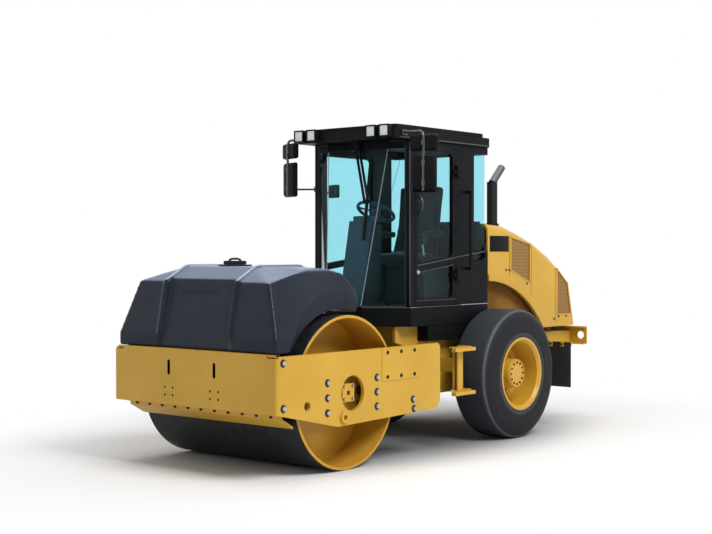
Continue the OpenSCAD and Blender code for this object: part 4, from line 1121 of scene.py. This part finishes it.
def makeScreenHeader():  # a dark band across the top of the windscreen and its corner panes
    header = {"deep": 0.075, "thick": 0.012}
    fall = header["deep"] / (cabRoof - cabFloor)
    x = screen["highX"] + (screen["lowX"] - screen["highX"]) * fall
    y = screen["highY"] + (screen["lowY"] - screen["highY"]) * fall
    top, low = cabRoof, cabRoof - header["deep"]
    head = {side: (screen["highX"], side * screen["highY"], top) for side in (1, -1)}
    foot = {side: (x, side * y, low) for side in (1, -1)}
    panes = [(head[-1], head[1], foot[1], foot[-1])]
    for side in (1, -1):
        post = (screen["postX"], side * screen["postY"])
        panes.append((head[side], (*post, top), (*post, low), foot[side]))
    bands = []
    for corners in panes:
        band = meshPiece("header", corners, [], [(0, 1, 2, 3)])
        applyModifier(band, "SOLIDIFY", thickness=header["thick"], offset=0)
        bands.append(band)
    give(joined(bands, "screenHeader"), powderBlack, "rear_frame")


def makeDoorFittings():
    pull = {"x": axleX + 1.055, "low": 2.06, "high": 2.20, "sunk": 0.004, "stand": 0.035,
            "bend": 0.02, "radius": 0.008}
    knob = {"head": 0.020, "headHigh": 0.012, "washer": 0.028, "washerHigh": 0.006,
            "place": (axleX + 1.070, cabSide, 1.535)}
    belts = (((0.335, 1.591), (-0.252, 1.662), 0.006), ((0.300, 1.532), (-0.200, 1.596), 0.005),
             ((0.335, 1.284), (-0.250, 1.284), 0.005))  # front and back end in (x, z), radius
    foot, bow = cabSide - pull["sunk"], cabSide + pull["stand"]
    route = ((foot, pull["low"]), (bow, pull["low"] + pull["bend"]), (bow, pull["high"] - pull["bend"]),
             (foot, pull["high"]))
    bar = tube("doorPull", [(pull["x"], y, z) for y, z in route], pull["radius"])
    give(bar, edgeGloss, "door_left")
    boltSet("doorLock", knob, [facing(knob["place"], (0, 1, 0))], "door_left", zincSteel)
    rods = [rod("belt", [(x, cabSkin, z) for x, z in ends], radius) for *ends, radius in belts]
    give(joined(rods, "doorBelts"), edgeGloss, "door_left")


def roundedCorner(outline, i, radius, tuck):  # what a corner's rounding leaves of it, as a small web
    steps = 8
    corner, before, after = (Vector(outline[(i + k) % len(outline)]) for k in (0, -1, 1))
    back, ahead = (before - corner).normalized(), (after - corner).normalized()
    half = back.angle(ahead) / 2
    middle = corner + (back + ahead).normalized() * radius / math.sin(half)
    first, last = (corner + way * radius / math.tan(half) - middle for way in (back, ahead))
    arc = [middle + first.lerp(last, t / steps).normalized() * radius for t in range(steps + 1)]
    return [corner - (back + ahead) * tuck] + arc


def makeWindowCorners():  # webs that round the corners of the door's and the right side's windows
    window = {"head": 2.598, "foot": 1.300, "radius": 0.055, "tuck": 0.003, "near": 0.534, "far": 0.549}
    sill = {"x": 1.101, "z": 1.600, "slope": 0.122, "bar": 0.060}
    door = {"back": 0.535, "front": 1.051, "side": 1, "body": "door_left", "name": "windowCornersLeft"}
    right = {"back": 0.385, "front": 1.059, "side": -1, "body": "rear_frame", "name": "windowCornersRight"}
    for pane in (door, right):
        x0, x1 = pane["back"], pane["front"]
        z0, z1 = (sill["z"] + (sill["x"] - x) * sill["slope"] for x in (x0, x1))
        head, foot, bar = window["head"], window["foot"], sill["bar"]
        upper = ((x0, z0), (x0, head), (x1, head), (x1, z1))
        lower = ((x0, foot), (x0, z0 - bar), (x1, z1 - bar), (x1, foot))
        y0, y1 = outward(pane["side"], window["near"], window["far"])
        webs = []
        for outline in (upper, lower):
            for i in range(len(outline)):
                points = roundedCorner(outline, i, window["radius"], window["tuck"])
                webs.append(prism("web", [(axleX + point.x, point.y) for point in points], y0, y1))
        give(joined(webs, pane["name"]), powderBlack, pane["body"])


makeCabEdges()
makePaneSeals()
makeSills()
makeWiper()
makeScreenHeader()
makeDoorFittings()
makeWindowCorners()


# operator's controls seen through the glass

def makeLevers():
    lever = {"x": axleX + 0.700, "y": 0.345, "foot": 1.650, "top": 1.800, "radius": 0.010}
    knob = {"back": 0.006, "front": 0.054, "half": 0.024, "low": -0.020, "high": 0.065, "crown": 0.012}
    gaiter = {"reach": 0.055, "half": 0.060, "sunk": 0.004, "high": 0.030, "edge": 0.012}
    route = ((0, lever["foot"] - gaiter["sunk"]), (0.010, 1.720), (0.030, lever["top"]))
    levers, knobs = [], []
    x, foot, top = lever["x"], lever["foot"], lever["top"]
    for y in (lever["y"], -lever["y"]):
        levers.append(tube("lever", [(x + lean, y, z) for lean, z in route], lever["radius"]))
        low = (x + knob["back"], y - knob["half"], top + knob["low"])
        high = (x + knob["front"], y + knob["half"], top + knob["high"])
        knobs.append(cushion("knob", low, high, knob["crown"]))
        low = (x - gaiter["reach"], y - gaiter["half"], foot - gaiter["sunk"])
        high = (x + gaiter["reach"], y + gaiter["half"], foot + gaiter["high"])
        knobs.append(bevelledBox("gaiter", low, high, gaiter["edge"]))
    give(joined(levers, "leverStems"), zincSteel, "rear_frame")
    give(joined(knobs, "leverKnobs"), sheetRubber, "rear_frame")


def makeMonitor():
    monitor = {"place": Vector((axleX + 1.055, -0.420, 2.270)), "half": Vector((0.022, 0.075, 0.060)),
               "edge": 0.010, "turn": math.radians(-22), "stem": 0.011}
    stem = (Vector((0.010, 0, 0)), Vector((0.060, -0.070, -0.020)))
    box = bevelledBox("monitorBox", -monitor["half"], monitor["half"], monitor["edge"])
    box.data.transform(Matrix.Translation(monitor["place"]) @ turnedZ(monitor["turn"]))
    arm = rod("monitorStem", [monitor["place"] + reach for reach in stem], monitor["stem"])
    give(joined([box, arm], "monitor"), consoleAbs, "rear_frame")


def makePedals():
    pedal = {"x": axleX + 1.080, "z": 1.275, "half": Vector((0.060, 0.045, 0.006)), "edge": 0.004,
             "turn": math.radians(-28), "stem": 0.008, "places": (-0.190, 0.190)}
    stem = ((axleX + 1.100, pedal["z"]), (axleX + 1.120, cabFloor - 0.001))
    pedals = []
    for y in pedal["places"]:
        plate = bevelledBox("pedal", -pedal["half"], pedal["half"], pedal["edge"], 2)
        plate.data.transform(Matrix.Translation((pedal["x"], y, pedal["z"])) @ turnedY(pedal["turn"]))
        pedals += [plate, rod("pedalStem", [(x, y, z) for x, z in stem], pedal["stem"])]
    give(joined(pedals, "pedals"), sheetRubber, "rear_frame")


def makeDash():
    dash = {"low": (axleX + 1.045, -0.110, 1.985), "high": (axleX + 1.160, 0.110, 2.035), "edge": 0.014}
    cluster = bevelledBox("dashCluster", dash["low"], dash["high"], dash["edge"], 4)
    give(cluster, consoleAbs, "rear_frame")


def twoToneConsole():  # the console's cheeks are black, its front and top blue-grey
    console = frame["nodes"]["console"]
    console.data.materials.append(standAbs)
    for face in console.data.polygons:
        if abs(face.normal.y) > 0.6:
            face.material_index = 1


makeLevers()
makeMonitor()
makePedals()
makeDash()
twoToneConsole()
print("cab trimmed")


# steps and flaps

def makeSteps():
    stud = {"x": axleX + 0.745, "y": 0.818, "tops": (0.500, 0.880), "pitch": 0.034, "columns": 7, "rows": 3,
            "radius": 0.009, "high": 0.004, "edge": 0.002}
    along = [stud["x"] + i * stud["pitch"] for i in range(stud["columns"])]
    across = [stud["y"] + j * stud["pitch"] for j in range(stud["rows"])]
    for side, word in bothSides:
        spots = []
        for top in stud["tops"]:
            spots += [Matrix.Translation((x, side * y, top)) for x in along for y in across]
        master = easedDisc("stud", 16, stud["radius"], -stud["high"], stud["high"], stud["edge"])
        studs = copies(master, "stepStuds" + word, spots)
        give(smooth(studs, 40), enamelYellow, "rear_frame")


def makeFlapClips():
    clip = {"back": axleX - 0.859, "front": axleX - 0.851, "low": 0.790, "high": 0.838,
            "half": 0.017, "edge": 0.002}
    screw = {"head": 0.008, "headHigh": 0.006, "washer": 0.012, "washerHigh": 0.002, "z": 0.815}
    places = [side * y for side in (1, -1) for y in (0.610, 0.735, 0.860)]
    clips = []
    for y in places:
        low = (clip["back"], y - clip["half"], clip["low"])
        high = (clip["front"], y + clip["half"], clip["high"])
        clips.append(bevelledBox("clip", low, high, clip["edge"], 2))
    give(joined(clips, "flapClips"), enamelYellow, "rear_frame")
    spots = [facing((clip["front"], y, screw["z"]), (1, 0, 0)) for y in places]
    boltSet("flapScrews", screw, spots, "rear_frame")


makeSteps()
makeFlapClips()
print("steps and flaps made")
